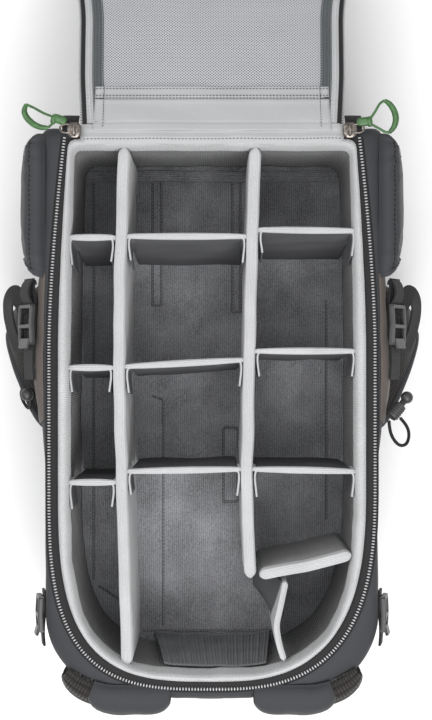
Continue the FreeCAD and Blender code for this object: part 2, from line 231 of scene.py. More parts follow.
softbox("key_lamp", 0.9, 24.0, (0.22, -0.9, 1.6), (0.5, 0.0, 0.24))
softbox("fill_lamp", 1.3, 9.0, (-1.1, 0.5, 1.5), (0.1, -0.62, 0.0))
softbox("top_lamp", 1.6, 17.0, (0.0, 0.2, 2.3), (0.0, 0.0, 0.0))
surround = bpy.data.worlds.new("surround")
surround.use_nodes = True
surround.node_tree.nodes["Background"].inputs["Color"].default_value = (1, 1, 1, 1)
surround.node_tree.nodes["Background"].inputs["Strength"].default_value = 0.62
scene.world = surround


# ---- Outer shell ----
# The pack's skin is charcoal nylon, sewn from a shoulder band round the zip, side panels and a softer front
# compartment that the pack lies on. Taupe cloth fills the sides between the hip wings and the top end.

MM = 0.001


def ripple(a, b, size, seed):
    """Smooth unevenness between about -1 and 1: the mean of seven cosine waves of about that length, each
    turned and shifted by seeded chance."""
    chance = np.random.default_rng(seed)
    way = chance.uniform(0, 2 * np.pi, 7)
    shift = chance.uniform(0, 2 * np.pi, 7)
    length = size * chance.uniform(0.7, 1.6, 7)
    a, b = np.broadcast_arrays(a, b)
    phase = (a[..., None] * np.cos(way) + b[..., None] * np.sin(way)) * 2 * np.pi / length + shift
    return 1.5 * np.cos(phase).mean(-1)


def evenly(points, count, closed=False):
    """The same line with its points spaced evenly along it."""
    points = np.asarray(points, float)
    if closed:
        points = np.vstack([points, points[:1]])
    run = np.concatenate([[0], np.cumsum(np.linalg.norm(np.diff(points, axis=0), axis=1))])
    at = np.linspace(0, run[-1], count, endpoint=not closed)
    return np.stack([np.interp(at, run, points[:, k]) for k in range(points.shape[1])], 1)


def softened(points, width, closed=True):
    """An even line with its corners rounded: the mean of its neighbours within that many millimetres."""
    step = np.linalg.norm(points[1] - points[0])
    reach = max(1, int(width / step))
    if closed:
        return np.mean([np.roll(points, k, axis=0) for k in range(-reach, reach + 1)], axis=0)
    padded = np.vstack([np.repeat(points[:1], reach, 0), points, np.repeat(points[-1:], reach, 0)])
    inner = np.mean([padded[k:k + len(points)] for k in range(2 * reach + 1)], axis=0)
    inner[0], inner[-1] = points[0], points[-1]
    return inner


widest_from = 60.0
widest_to = -60.0


def opening(half_hinge, half, end, low, powers, count=420, closed=True, corner=9.0):
    """The opening's outline, anticlockwise from the middle of the hinge side. Above widest_from the half width is
    half - (half - half_hinge) ((y - widest_from) / (end - widest_from)) ^ 1.6. Below widest_to it is a superellipse:
    x = half cos(a) ^ (2/power), y = widest_to - depth sin(a) ^ (2/power), a little squarer on the left."""
    y = np.linspace(end, widest_to, 160)
    flare = np.clip((y - widest_from) / (end - widest_from), 0, 1) ** 1.6
    side = np.stack([half - (half - half_hinge) * flare, y], 1)
    a = np.linspace(0, np.pi / 2, 240)[1:]
    halves = []
    for power in powers:
        quarter = np.stack([half * np.cos(a) ** (2 / power),
                            widest_to - (widest_to - low) * np.sin(a) ** (2 / power)], 1)
        halves.append(np.vstack([side, quarter]))
    left = halves[0] * (-1, 1)
    right = halves[1][::-1][1:]
    if not closed:
        return evenly(np.vstack([left, right]), count)
    loop = np.vstack([[(0, end)], left, right])
    return softened(evenly(loop, count, True), corner)


def rounded_box_plan(half, low, high, corner_low, corner_high, count=420):
    """A rectangle with two large corners at its low end and two small ones, anticlockwise from its far middle."""
    corners = []
    for x, y, r, turn in [(-half, high, corner_high, 1), (-half, low, corner_low, 2), (half, low, corner_low, 3),
                          (half, high, corner_high, 0)]:
        a = np.linspace(0, np.pi / 2, 24) + turn * np.pi / 2
        centre = (x - np.sign(x) * r, y - (1 if y == high else -1) * r)
        corners.append(np.stack([centre[0] + r * np.cos(a), centre[1] + r * np.sin(a)], 1))
    return evenly(np.vstack([[(0, high)], *corners]), count, True)


def grid_faces(rows, columns, wrap_rows, wrap_columns):
    """Corner numbers of the quads between neighbouring points of a grid, and the same without wrapping."""
    i, j = np.meshgrid(np.arange(rows - 1 + wrap_rows), np.arange(columns - 1 + wrap_columns), indexing="ij")
    i = np.stack([i, i + 1, i + 1, i], -1).reshape(-1, 4)
    j = np.stack([j, j, j + 1, j + 1], -1).reshape(-1, 4)
    return (i % rows) * columns + j % columns, i, j


def skin(grid, wrap_rows=False, wrap_columns=False, cap=False, turn_over=False):
    """A surface through a grid of points in millimetres. Its UV map is the distance along the rows and columns, in
    metres. cap closes the first and the last row, each a ring, and turns the surface so that it faces outwards."""
    grid = np.asarray(grid, float)
    rows, columns = grid.shape[:2]
    quads, i, j = grid_faces(rows, columns, wrap_rows, wrap_columns)
    wide = np.concatenate([grid, grid[:, :1]], 1) if wrap_columns else grid
    tall = np.concatenate([grid, grid[:1]], 0) if wrap_rows else grid
    across = np.linalg.norm(np.diff(wide, axis=1), axis=2).mean(0)
    down = np.linalg.norm(np.diff(tall, axis=0), axis=2).mean(1)
    u = np.concatenate([[0], np.cumsum(across)])[j] * MM
    v = np.concatenate([[0], np.cumsum(down)])[i] * MM
    points, faces, uv = grid.reshape(-1, 3), quads.tolist(), np.stack([u, v], -1).reshape(-1, 2)
    if cap:
        first, last = list(range(columns))[::-1], [(rows - 1) * columns + k for k in range(columns)]
        faces += [first, last]
        ends = np.concatenate([points[first], points[last]])
        uv = np.vstack([uv, ends[:, :2] * MM])
    if (cap or (wrap_rows and wrap_columns)) and volume_of(points, quads) < 0:
        turn_over = not turn_over
    return points, faces, uv, turn_over


def volume_of(points, quads):
    """Six times the volume inside the quads, below zero where they face inwards."""
    a, b, c, d = (points[quads[:, k]] - points.mean(0) for k in range(4))
    return float((np.cross(a, b) * c).sum() + (np.cross(a, c) * d).sum())


def put(name, patches, material, body, replaces=(), sharp=40.0):
    """One piece made of surfaces: the mesh in metres, shaded smooth up to that angle, on its body."""
    points, faces, corners, start = [], [], [], 0
    for patch_points, patch_faces, uv, turn_over in patches:
        spots = iter(uv.tolist())
        for face in patch_faces:
            spot = [next(spots) for _ in face]
            faces.append([start + k for k in (face[::-1] if turn_over else face)])
            corners += spot[::-1] if turn_over else spot
        points.append(patch_points)
        start += len(patch_points)
    mesh = bpy.data.meshes.new(name)
    mesh.from_pydata((np.concatenate(points) * MM).tolist(), [], faces)
    mesh.uv_layers.new(name="UVMap").data.foreach_set("uv", np.asarray(corners, np.float32).ravel())
    mesh.polygons.foreach_set("use_smooth", np.ones(len(faces), bool))
    mesh.update()
    mesh.set_sharp_from_angle(angle=np.radians(sharp))
    mesh.materials.append(material)
    piece = bpy.data.objects.new(name, mesh)
    scene.collection.objects.link(piece)
    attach(piece, body)
    if replaces:
        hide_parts(*replaces)
    return piece


def thicken(piece, thickness):
    """Gives a skin its cloth's thickness, inwards, in millimetres."""
    wall = piece.modifiers.new("thickness", "SOLIDIFY")
    wall.thickness = thickness * MM
    wall.offset = -1.0
    return piece


charcoal_nylon = woven("charcoal_nylon", (0.036, 0.037, 0.041), 0.0011, 0.00012, 0.16, 0.1, 0.72, 0.08)
taupe_cloth = woven("taupe_cloth", (0.098, 0.082, 0.073), 0.0014, 0.0002, 0.14, 0.16, 0.8, 0.1)

shell_low_corner, shell_high_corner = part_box("outer_shell")
shell_half = shell_high_corner.x / MM
shell_low = shell_low_corner.y / MM
shell_end = shell_high_corner.y / MM
front_depth = shell_low_corner.z / MM
zip_half, zip_half_hinge, zip_end, zip_low = 147.0, 133.0, 250.0, -247.0
zip_powers = (3.2, 2.8)
rim_powers = (3.5, 3.05)
shoulder_z = 230.3
shoulder_drop = 15.0
wall_inset = 1.4


def shell_levels(count=420):
    """The shell's skin as rings from the zip's edge outwards and down to the flat bottom. Over the shoulder a ring
    is zip + (wall - zip) sin(t), at shoulder_z - shoulder_drop (1 - cos(t)). Down the wall it is the pack's outline
    with a belly of sin(pi k). Below the seam the front compartment tucks in and rounds under by a quarter circle."""
    zip_edge = opening(zip_half_hinge + 2.5, zip_half + 2.5, zip_end - 0.5, zip_low - 2.0, zip_powers, count, corner=5)
    wall = rounded_box_plan(shell_half - wall_inset, shell_low + wall_inset, shell_end - wall_inset, 71, 9, count)
    inner = rounded_box_plan(shell_half - 19, shell_low + 22, shell_end - 19, 45, 45, count)
    taper = 0.5 - 0.5 * np.cos(np.pi * np.clip((10 - wall[:, 1]) / 70, 0, 1))
    narrow = 4.0 + 3.0 * (wall[:, 0] > 0) * np.exp(-(((wall[:, 1] + 75) / 45) ** 2))
    wall[:, 0] -= np.sign(wall[:, 0]) * narrow * taper * np.abs(wall[:, 0]) / shell_half
    shoulder_ear = np.clip((np.abs(wall[:, 0]) - 122) / 18, 0, 1) * np.clip((wall[:, 1] - 215) / 30, 0, 1)
    wall[:, 1] += 7.5 * shoulder_ear
    end_share = np.clip((48 - np.abs(wall[:, 0])) / 14, 0, 1) * (wall[:, 1] < -200)
    wall[:, 1] -= 5.8 * (0.5 - 0.5 * np.cos(np.pi * end_share))
    middle = wall.mean(0)
    rings = []
    for t in np.linspace(0, np.pi / 2, 14):
        ring = zip_edge + (wall - zip_edge) * np.sin(t) ** 0.9
        rings.append((ring, shoulder_z - shoulder_drop * (1 - np.cos(t))))
    seam_z = front_depth + 3.0
    for k in np.linspace(0, 1, 26)[1:]:
        z = (shoulder_z - shoulder_drop) * (1 - k) + seam_z * k
        rings.append((middle + (wall - middle) * (1 + 0.006 * np.sin(np.pi * k)), z))
    for inset, drop in [(0.012, 1.5), (0.03, 2.0), (0.036, 4.0), (0.024, 5.5)]:
        rings.append((middle + (wall - middle) * (1 - inset), seam_z - drop))
    for k in np.linspace(0, 1, 10)[1:]:
        share = np.sin(k * np.pi / 2)
        ring = wall * 0.976 + middle * 0.024
        rings.append((ring + (inner - ring) * share, seam_z - 5.5 - 30 * (1 - np.cos(k * np.pi / 2))))
    low = seam_z - 35.5
    for k in np.linspace(0, 1, 10)[1:]:
        tuck = 22.0 * (1 - np.cos(k * np.pi / 2)) / 138.0
        rings.append((middle + (inner - middle) * (1 - tuck), low - (low - 0.4) * np.sin(k * np.pi / 2)))
    centre = rings[-1][0].mean(0)
    for share in (0.8, 0.5, 0.2):
        rings.append((centre + (rings[-1][0] - centre) * share, 0.4))
    return rings


levels = shell_levels()
shell_grid = np.array([np.column_stack([ring, np.full(len(ring), z)]) for ring, z in levels])
outward = shell_grid[20, :, :2] - np.roll(shell_grid[20, :, :2], 1, axis=0)
outward = np.column_stack([outward[:, 1], -outward[:, 0], np.zeros(len(outward))])
outward /= np.linalg.norm(outward, axis=1)[:, None]
depth_share = np.clip((shoulder_z - shell_grid[..., 2]) / 20, 0, 1) * np.clip(shell_grid[..., 2] / 30, 0, 1)
run = np.arange(shell_grid.shape[1]) * 4.0
slack = 0.45 * ripple(run[None, :], shell_grid[..., 2], 46, 3)
slack += 0.22 * ripple(run[None, :] * 0.4, shell_grid[..., 2], 14, 4)
shell_grid += outward[None] * (slack * depth_share)[..., None]
shoulder_wave = ripple(run[None, :], shell_grid[..., 2] * 3, 30, 5) * np.clip((shell_grid[..., 2] - 210) / 10, 0, 1)
shell_grid[..., 2] += 0.5 * shoulder_wave * np.clip((shoulder_z - shell_grid[..., 2]) / 3, 0, 1)

side_from, side_to = 131.0, -12.0
side_rows = slice(3, 40)
station = shell_grid[20, :, 1]
at_side = (station < side_from) & (station > side_to)
left_columns = np.flatnonzero(at_side & (shell_grid[20, :, 0] < 0))
right_columns = np.flatnonzero(at_side & (shell_grid[20, :, 0] > 0))
put("shell_skin", [skin(shell_grid, wrap_columns=True)], charcoal_nylon, "root",
    ("outer_shell", "edge_band", "front_pocket"))
for side, columns in (("left", left_columns), ("right", right_columns)):
    columns = slice(columns[0], columns[-1] + 1)
    panel = shell_grid[side_rows, columns].copy()
    share = np.clip((panel[..., 1] - side_to) / (side_from - side_to), 0, 1)
    belly = 4.5 + 4.0 * np.exp(-(((panel[..., 1] - 34) / 34) ** 2))
    belly *= np.exp(-(((panel[..., 2] - 190) / 42) ** 2)) * np.sin(np.pi * share) ** 0.4
    belly *= np.clip((shoulder_z - panel[..., 2]) / 8, 0, 1)
    panel += outward[None, columns] * (0.7 + belly + 0.5 * ripple(panel[..., 1], panel[..., 2], 22, 6))[..., None]
    panel[..., 2] += 0.6 * np.clip((panel[..., 2] - 214) / 10, 0, 1)
    thicken(put("side_panel_" + side, [skin(panel)], taupe_cloth, "root"), 1.0)


# ---- Body's half of the zip ----
# A black woven tape is sewn to the shoulder band all round the opening, with a row of moulded teeth along its
# inner edge. Here it is unzipped, so only one row shows.


def carried(path, section, up=(0, 0, 1), closed=False, scale=None):
    """A closed section (side, up) carried along a path: point = path + side * (up x way) + up * height, where way
    is the path's own direction."""
    path, section = np.asarray(path, float), np.asarray(section, float)
    if closed:
        way = np.roll(path, -1, 0) - np.roll(path, 1, 0)
    else:
        way = np.gradient(path, axis=0)
    way /= np.linalg.norm(way, axis=1)[:, None]
    up = np.broadcast_to(np.asarray(up, float), path.shape)
    side = np.cross(up, way)
    side /= np.linalg.norm(side, axis=1)[:, None]
    up = np.cross(way, side)
    scale = np.ones((len(path), 2)) if scale is None else scale
    a = section[None, :, 0] * scale[:, :1]
    b = section[None, :, 1] * scale[:, 1:]
    return path[:, None] + side[:, None] * a[..., None] + up[:, None] * b[..., None]


def rounded_section(width, height, radius, count=24):
    """A rounded rectangle about its own middle, its points spaced evenly."""
    turns = np.linspace(0, np.pi / 2, 7)
    corners = []
    for x, y, quarter in [(1, 1, 0), (-1, 1, 1), (-1, -1, 2), (1, -1, 3)]:
        a = turns + quarter * np.pi / 2
        corners.append(np.stack([x * (width / 2 - radius) + radius * np.cos(a),
                                 y * (height / 2 - radius) + radius * np.sin(a)], 1))
    return evenly(np.vstack(corners), count, True)


def lifted(plan, z):
    """A flat line raised to that height."""
    return np.column_stack([plan, np.full(len(plan), float(z))])


def many(shape, places, ways, ups):
    """The same small closed shape at each place: x along way, y across it, z up. shape is (points, faces)."""
    points, faces = shape
    ways = ways / np.linalg.norm(ways, axis=1)[:, None]
    across = np.cross(ups, ways)
    across /= np.linalg.norm(across, axis=1)[:, None]
    ups = np.cross(ways, across)
    axes = np.stack([ways, across, ups], 1)
    copies = places[:, None] + np.einsum("pk,nkc->npc", points, axes)
    numbers = np.arange(len(places))[:, None, None] * len(points) + np.asarray(faces)[None]
    flat = numbers.reshape(-1, numbers.shape[-1])
    uv = np.tile(np.array([(0, 0), (MM, 0), (MM, MM), (0, MM)], float), (len(flat), 1))
    return copies.reshape(-1, 3), flat.tolist(), uv, False


def pebble(length, width, height, sides=8, rings=5, power=2.6):
    """A small rounded block: a superellipse section that shrinks to both ends, closed by a small face at each."""
    s = np.linspace(-1, 1, rings)
    swell = np.clip(1 - np.abs(s) ** power, 0.12, 1) ** (1 / power)
    a = np.arange(sides) / sides * 2 * np.pi + np.pi / sides
    y = np.sign(np.cos(a)) * np.abs(np.cos(a)) ** 0.7 * width / 2
    z = np.sign(np.sin(a)) * np.abs(np.sin(a)) ** 0.7 * height / 2
    ring = np.stack([np.zeros(sides), y, z], 1)
    points = ring[None] * swell[:, None, None]
    points[..., 0] = (s * length / 2)[:, None]
    quads, _, _ = grid_faces(rings, sides, False, True)
    half = sides // 2
    last = (rings - 1) * sides
    ends = [[last + k, last + k + 1, last + sides - 2 - k, last + sides - 1 - k] for k in range(half - 1)]
    starts = [[sides - 1 - k, sides - 2 - k, k + 1, k] for k in range(half - 1)]
    return points.reshape(-1, 3), quads[:, ::-1].tolist() + ends + starts


def stitches(path, pitch=3.2, length=2.2, thick=0.55, up=(0, 0, 1)):
    """A row of stitches along a path: small pebbles, one each pitch."""
    path = np.asarray(path, float)
    run = np.linalg.norm(np.diff(path, axis=0), axis=1).sum()
    spots = evenly(path, max(3, int(run / pitch)))
    ways = np.gradient(spots, axis=0)
    return many(pebble(length, thick, thick, 6, 4), spots, ways, np.broadcast_to(np.asarray(up, float), spots.shape))


def moulded(name, roughness, dark, light, lump, grain, depth, low=0.3, high=0.7, **sockets):
    """A moulded or cast finish: its colour drifts between dark and light over lumps of that size in metres, and a
    fine grain of that size is raised by that depth."""
    material, tree, surface = shader(name, roughness, **sockets)
    spots = node(tree, "TexCoord").outputs["Object"]
    shade = colour_between(tree, cloud(tree, spots, lump), dark, light, low, high)
    tree.links.new(shade, surface.inputs["Base Color"])
    raise_surface(tree, surface, cloud(tree, spots, grain), depth)
    return material


zip_tape_cloth = woven("zip_tape_cloth", (0.016, 0.016, 0.017), 0.0009, 0.00012, 0.1, 0.12, 0.75, 0.1)
zip_teeth_nylon = moulded("zip_teeth_nylon", 0.28, (0.2, 0.2, 0.21), (0.45, 0.45, 0.46), 0.003, 0.0006, 0.00006,
                          0.0, 1.0, Specular_IOR_Level=0.7)

tooth_pitch = 2.9
tooth = pebble(2.9, 1.6, 2.5)


def zip_run(inset, count=520):
    """The line that many millimetres inside the zip's own line, open at the hinge."""
    return opening(zip_half_hinge - inset, zip_half - inset, zip_end, zip_low + inset, zip_powers, count, closed=False)


tape_line = lifted(zip_run(2.2), 230.9)
tape_section = rounded_section(11.5, 1.2, 0.5, 20)
put("body_zip_tape", [skin(carried(tape_line, tape_section), wrap_columns=True, cap=True)], zip_tape_cloth, "root",
    ("zipper_tape",))
tooth_run = evenly(lifted(zip_run(0.0), 232.6), int(1260 / tooth_pitch))
tooth_way = np.gradient(tooth_run, axis=0)
tooth_in = np.cross(np.array([0, 0, 1.0]), tooth_way)
put("body_zip_teeth", [many(tooth, tooth_run, tooth_in, np.tile([0, 0, 1.0], (len(tooth_run), 1)))],
    zip_teeth_nylon, "root", ("zipper_coil",))
put("body_zip_stitches", [stitches(lifted(zip_run(6.3), 231.6)), stitches(lifted(zip_run(-2.7), 231.5))],
    black_elastic, "root")


# ---- Padded rim ----
# A tube of light-grey brushed cloth over foam, sewn along the top of the lining all round the opening, with the
# doubled strip at the hinge that the back panel swings on.

felt_light = (0.42, 0.424, 0.432)


def brushed(name, colour, pitch=0.0016, depth=0.0003, ribs=0.35, uneven=0.1, fuzz=0.12, sheen=0.5, face=None):
    """Brushed loop cloth: soft uneven ribs along one way under a fuzz of short fibres. Height = ribs + fuzz.
    Below the height face the colour is darkened to about a third: painted shade on a board's sides below its top."""
    material, tree, surface = shader(name, 0.95, Sheen_Weight=sheen, Sheen_Roughness=0.6,
                                     Specular_IOR_Level=0.2)
    spots = node(tree, "TexCoord")
    bars = ridges(tree, spots.outputs["UV"], pitch, "X", 1.2)
    fibre = cloud(tree, spots.outputs["Object"], 0.0016, 4.0)
    broad = cloud(tree, spots.outputs["Object"], 0.035)
    mixed = sums(tree, "ADD", sums(tree, "MULTIPLY", bars, ribs * 0.3),
                 sums(tree, "ADD", sums(tree, "MULTIPLY", fibre, fuzz * 2), sums(tree, "MULTIPLY", broad, uneven * 2)))
    middle = ribs * 0.15 + fuzz + uneven
    dark = [c * (1 - 1.6 * (uneven + fuzz)) for c in colour]
    light = [min(1.0, c * (1 + 1.2 * (uneven + fuzz))) for c in colour]
    shade = colour_between(tree, mixed, dark, light, max(0.0, middle - 0.25), middle + 0.25)
    # Painted shade: below the height face the colour is multiplied down to about a third.
    if face is not None:
        height = node(tree, "SeparateXYZ", Vector=spots.outputs["Object"]).outputs[2]
        above = sums(tree, "GREATER_THAN", height, face)
        darker = node(tree, "Mix", {"data_type": "RGBA", "blend_type": "MULTIPLY"}, _0=1.0, _6=shade,
                      _7=(0.3, 0.3, 0.31, 1)).outputs[2]
        shade = node(tree, "Mix", {"data_type": "RGBA"}, _0=above, _6=darker, _7=shade).outputs[2]
    tree.links.new(shade, surface.inputs["Base Color"])
    raise_surface(tree, surface, sums(tree, "ADD", bars, fibre), depth)
    return material


light_felt = brushed("light_felt", felt_light)
lining_size = (126, 130, 242, -233)
rim_inner = opening(*lining_size, rim_powers)
rim_outer = opening(130, 139.5, 249.5, -241, zip_powers)
rim_run = np.arange(len(rim_inner)) * 3.8
rim_wave = 0.9 * ripple(rim_run, 0 * rim_run, 42, 11) + 0.5 * ripple(rim_run, 0 * rim_run, 17, 12)
rim_wave *= 0.35 + 0.65 * (rim_inner[:, 1] < -90)
inwards = (rim_outer - rim_inner) / np.linalg.norm(rim_outer - rim_inner, axis=1)[:, None]
rim_inner = rim_inner + inwards * rim_wave[:, None]
rim_profile = [(-0.06, 208), (-0.1, 214), (-0.08, 222), (-0.02, 228), (0.06, 232.2), (0.2, 234.6), (0.42, 235.8),
               (0.62, 235.6), (0.8, 234.2), (0.93, 231.8), (1.0, 229), (1.0, 226)]
rim_rings = []
for share, z in rim_profile:
    lump = 0.5 * ripple(rim_run, 0 * rim_run + z, 26, 13)
    rim_rings.append(np.column_stack([rim_inner + (rim_outer - rim_inner) * share, z + lump * (z > 229)]))
rim = thicken(put("padded_rim", [skin(rim_rings, wrap_columns=True)], light_felt, "root",
                  ("rim_binding",)), 1.5)
rim_seam = rim_inner + (rim_outer - rim_inner) * 0.82
put("rim_stitches", [stitches(lifted(np.vstack([rim_seam, rim_seam[:1]]), 234.6), 3.6, 2.4, 0.5)], light_felt, "root")
light_cloth = woven("light_hem_cloth", (0.40, 0.405, 0.412), 0.0012, 0.00015, 0.06, 0.06, 0.75, 0.3)
stitch_grey = woven("grey_thread", (0.05, 0.05, 0.053), 0.0006, 0.0001, 0.1, 0.1, 0.7, 0.2, "Object")
strip_half = 119.0
strip_x, strip_t = np.meshgrid(np.linspace(-strip_half, strip_half, 120), np.linspace(0, 1, 26), indexing="ij")
strip_rows = np.array([(0, 243.5, 234.4), (0.15, 245.5, 236.3), (0.4, 250.5, 236.2), (0.58, 254.5, 234.0),
                       (0.8, 258.5, 233.2), (1, 263, 231.0)])
strip_y = np.interp(strip_t, strip_rows[:, 0], strip_rows[:, 1]) + 0.5 * ripple(strip_x, 0 * strip_x, 40, 14)
strip_z = np.interp(strip_t, strip_rows[:, 0], strip_rows[:, 2]) + 0.45 * ripple(strip_x, strip_t * 20, 24, 15)
strip_z -= 0.9 * np.exp(-(((strip_x + 12) / 1.2) ** 2)) * (strip_t < 0.7)
strip_z -= 2.5 * np.clip((np.abs(strip_x) - 112) / 7, 0, 1) ** 2
strip_grid = np.stack([strip_x, strip_y, strip_z], -1)
strip = thicken(put("hinge_strip_cloth", [skin(strip_grid)], light_cloth, "root",
                    ("hinge_strip",)), 1.2)
strip.parent = None
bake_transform(strip)
put("hinge_stitches", [stitches(strip_grid[2:-2, 8] + (0, 0, 0.1), 3.2, 1.9, 0.8)], stitch_grey, "root")


# ---- Lining and floor ----
# The compartment is lined with dark-grey ribbed loop cloth over foam, so that the dividers' tabs grip anywhere.
# The floor panel is the same cloth over a firm pad, with sewn seams that mark out the columns.

lining_cloth = brushed("lining_cloth", (0.115, 0.117, 0.122), 0.0021, 0.0005, 0.9, 0.16, 0.14, 0.25)
floor_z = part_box("floor_pad")[1].z / MM
wall_top = 214.0
lining_rings = []
lining_plan = opening(*lining_size, rim_powers, corner=14)
lining_centre = lining_plan.mean(0)
for k in np.linspace(0, 1, 30):
    z = wall_top + (floor_z + 3 - wall_top) * k
    spread = 1 + 0.010 * np.sin(np.pi * k) + 0.004 * k
    bulge = 0.8 * ripple(rim_run, 0 * rim_run + z, 60, 21)
    under_rim = np.clip(1 - 8 * k, 0, 1)
    ring = lining_centre + (lining_plan - lining_centre) * spread
    ring = ring + inwards * (bulge * (1 - under_rim) + (rim_wave + 0.9) * under_rim)[:, None]
    lining_rings.append(lifted(ring, z))
thicken(put("lining_walls", [skin(lining_rings, wrap_columns=True, turn_over=True)], lining_cloth, "root",
            ("foam_liner",)), 2.0)

floor_cloth = brushed("floor_cloth", (0.285, 0.29, 0.304), 0.0021, 0.0005, 0.45, 0.2, 0.26, 0.15)
floor_x = np.linspace(-134, 134, 110)
floor_y = np.linspace(-238, 246, 190)
gy, gx = np.meshgrid(floor_y, floor_x, indexing="ij")


def groove(distance, width):
    """A smooth dip, 1 at the line and 0 beyond width."""
    return np.clip(1 - np.abs(distance) / width, 0, 1) ** 2


floor_seams = [[(-51, 234), (-51, 104), (-60, 104), (-60, 234)], [(-49, 10), (-49, -216)],
               [(-61, 14), (-49, 10)], [(20, 234), (20, 98), (28, 98), (28, 234)],
               [(11, -18), (11, -92), (25, -92), (25, -18), (11, -18)], [(-119, 234), (-119, -170)],
               [(114, 110), (114, -110)], [(-70, -221), (60, -221)], [(-114, -176), (-84, -196)]]


def floor_level(x, y):
    """The floor's height: broad and small waves, with a soft fold that runs slantwise near the top end."""
    fold = 1.8 * np.exp(-(((x + 10 - 0.45 * (y + 120)) / 16) ** 2)) * np.clip((-60 - y) / 40, 0, 1)
    return floor_z + 1.2 * ripple(x, y, 90, 22) + 0.5 * ripple(x, y * 0.5, 30, 23) + fold


floor_height = floor_level(gx, gy)
for seam in floor_seams:
    for (ax, ay), (bx, by) in zip(seam[:-1], seam[1:]):
        t = np.clip(((gx - ax) * (bx - ax) + (gy - ay) * (by - ay)) / ((bx - ax) ** 2 + (by - ay) ** 2), 0, 1)
        away = np.hypot(gx - ax - t * (bx - ax), gy - ay - t * (by - ay))
        floor_height -= 1.5 * groove(away, 4.5)
floor_grid = np.stack([gx, gy, floor_height], -1)
thicken(put("floor_panel", [skin(floor_grid, turn_over=True)], floor_cloth, "root",
            ("floor_pad",)), 3.0)
seam_cloth = woven("seam_thread", (0.36, 0.365, 0.38), 0.0012, 0.0002)
seam_lines = []
crease_lines = []
for seam in floor_seams:
    line = evenly(seam, 200)
    raised = np.column_stack([line, floor_level(line[:, 0], line[:, 1]) - 0.6])
    seam_lines.append(stitches(raised + (0, 0, 0.3), 3.4, 2.4, 0.75))
    crease = carried(raised - (0, 0, 0.45), rounded_section(2.6, 0.9, 0.4, 12), up=(0, 0, 1))
    crease_lines.append(skin(crease, wrap_columns=True, cap=True))
foot_x = np.linspace(-124, 124, 160)
for foot_y in (229.0, 236.0):
    foot_line = np.column_stack([foot_x, 0 * foot_x + foot_y, 0 * foot_x + floor_z + 3.4])
    seam_lines.append(stitches(foot_line, 3.4, 2.4, 0.7))
welt_x = np.linspace(-128, 128, 120)
welt_line = np.column_stack([welt_x, 233 + 0.8 * ripple(welt_x, 0 * welt_x, 50, 25), 0 * welt_x + floor_z + 1.8])
put("foot_welt", [skin(carried(welt_line, rounded_section(11, 2.6, 1.2, 22)), wrap_columns=True, cap=True)],
    floor_cloth, "root")
put("floor_seams", seam_lines, seam_cloth, "root")
put("floor_creases", crease_lines, lining_cloth, "root")


# ---- Long dividers ----
# Two boards of foam in light-grey loop cloth run the length of the compartment. Hook tape on their ends holds
# them, and they bow a little where the short dividers push on them.


def board(line, thick, low, top, lean=0.0, seed=0, sag=0.0, slack=0.7, count=110):
    """A padded board that stands on its lower edge along a line seen from above. A rounded section is carried along
    the line and narrows to sqrt(1 - (1 - d/r)^2) within r of each end. Its foot stands lean nearer to the top end,
    its top edge sags by sin(pi s), and both faces wander together."""
    line = evenly(line, count)
    run = np.linspace(0, np.linalg.norm(np.diff(line, axis=0), axis=1).sum(), count)
    near = np.clip(np.minimum(run, run[-1] - run) / (0.6 * thick), 0, 1)
    ends = np.clip(np.sqrt(1 - (1 - near) ** 2), 0.3, 1)
    grid = carried(lifted(line, (low + top) / 2), rounded_section(thick, top - low, 0.36 * thick, 90),
                   scale=np.stack([ends, np.ones(count)], 1))
    share = (grid[..., 2] - low) / (top - low)
    way = np.gradient(line, axis=0)
    across = np.stack([-way[:, 1], way[:, 0]], 1) / np.linalg.norm(way, axis=1)[:, None]
    wander = slack * ripple(run[:, None], grid[..., 2], 55, seed)
    grid[..., :2] += across[:, None] * wander[..., None]
    grid[..., 1] -= lean * (1 - share)
    bend = sag * np.sin(np.pi * run / run[-1]) - 0.4 * ripple(run, 0 * run, 24, seed + 1)
    grid[..., 2] -= bend[:, None] * share ** 2
    return skin(grid, wrap_columns=True, cap=True)


divider_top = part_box("long_divider_left")[1].z / MM
divider_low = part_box("long_divider_left")[0].z / MM
long_lines = {
    "left": [(-79.5, 242), (-82.5, 160), (-84.5, 80), (-83.8, 10), (-81.5, -70), (-79, -150), (-76.8, -226)],
    "right": [(39, 242), (36.6, 165), (34.6, 90), (32.6, 0), (31.2, -70), (33, -120), (35, -147)],
}
for seed, (side, line) in enumerate(long_lines.items()):
    curve = softened(evenly(line, 160), 40, closed=False)
    foam = board(curve, 11.0, divider_low, divider_top + 0.5, 0, 31 + seed, 0.0, 0.6, 220)
    put("long_divider_" + side + "_board", [foam], light_felt, "long_divider_" + side,
                  ("long_divider_" + side,))


# ---- Short dividers ----
# Thin foam boards faced with smooth dark nylon, their top edges bound in light loop cloth. A folded tab of the
# binding at each end grips the walls and the long dividers. The first row leans towards the hip end.

smooth_face = woven("divider_facing", (0.115, 0.116, 0.122), 0.0009, 0.0001, 0.2, 0.1, 0.7, 0.0)
tab_face = woven("tab_facing", (0.15, 0.152, 0.16), 0.0009, 0.0001, 0.14, 0.08, 0.8, 0.0)


def at_long(side, y):
    """Where a long divider's middle is at that station."""
    stations = np.array(long_lines[side][::-1])
    return float(np.interp(y, stations[:, 1], stations[:, 0]))


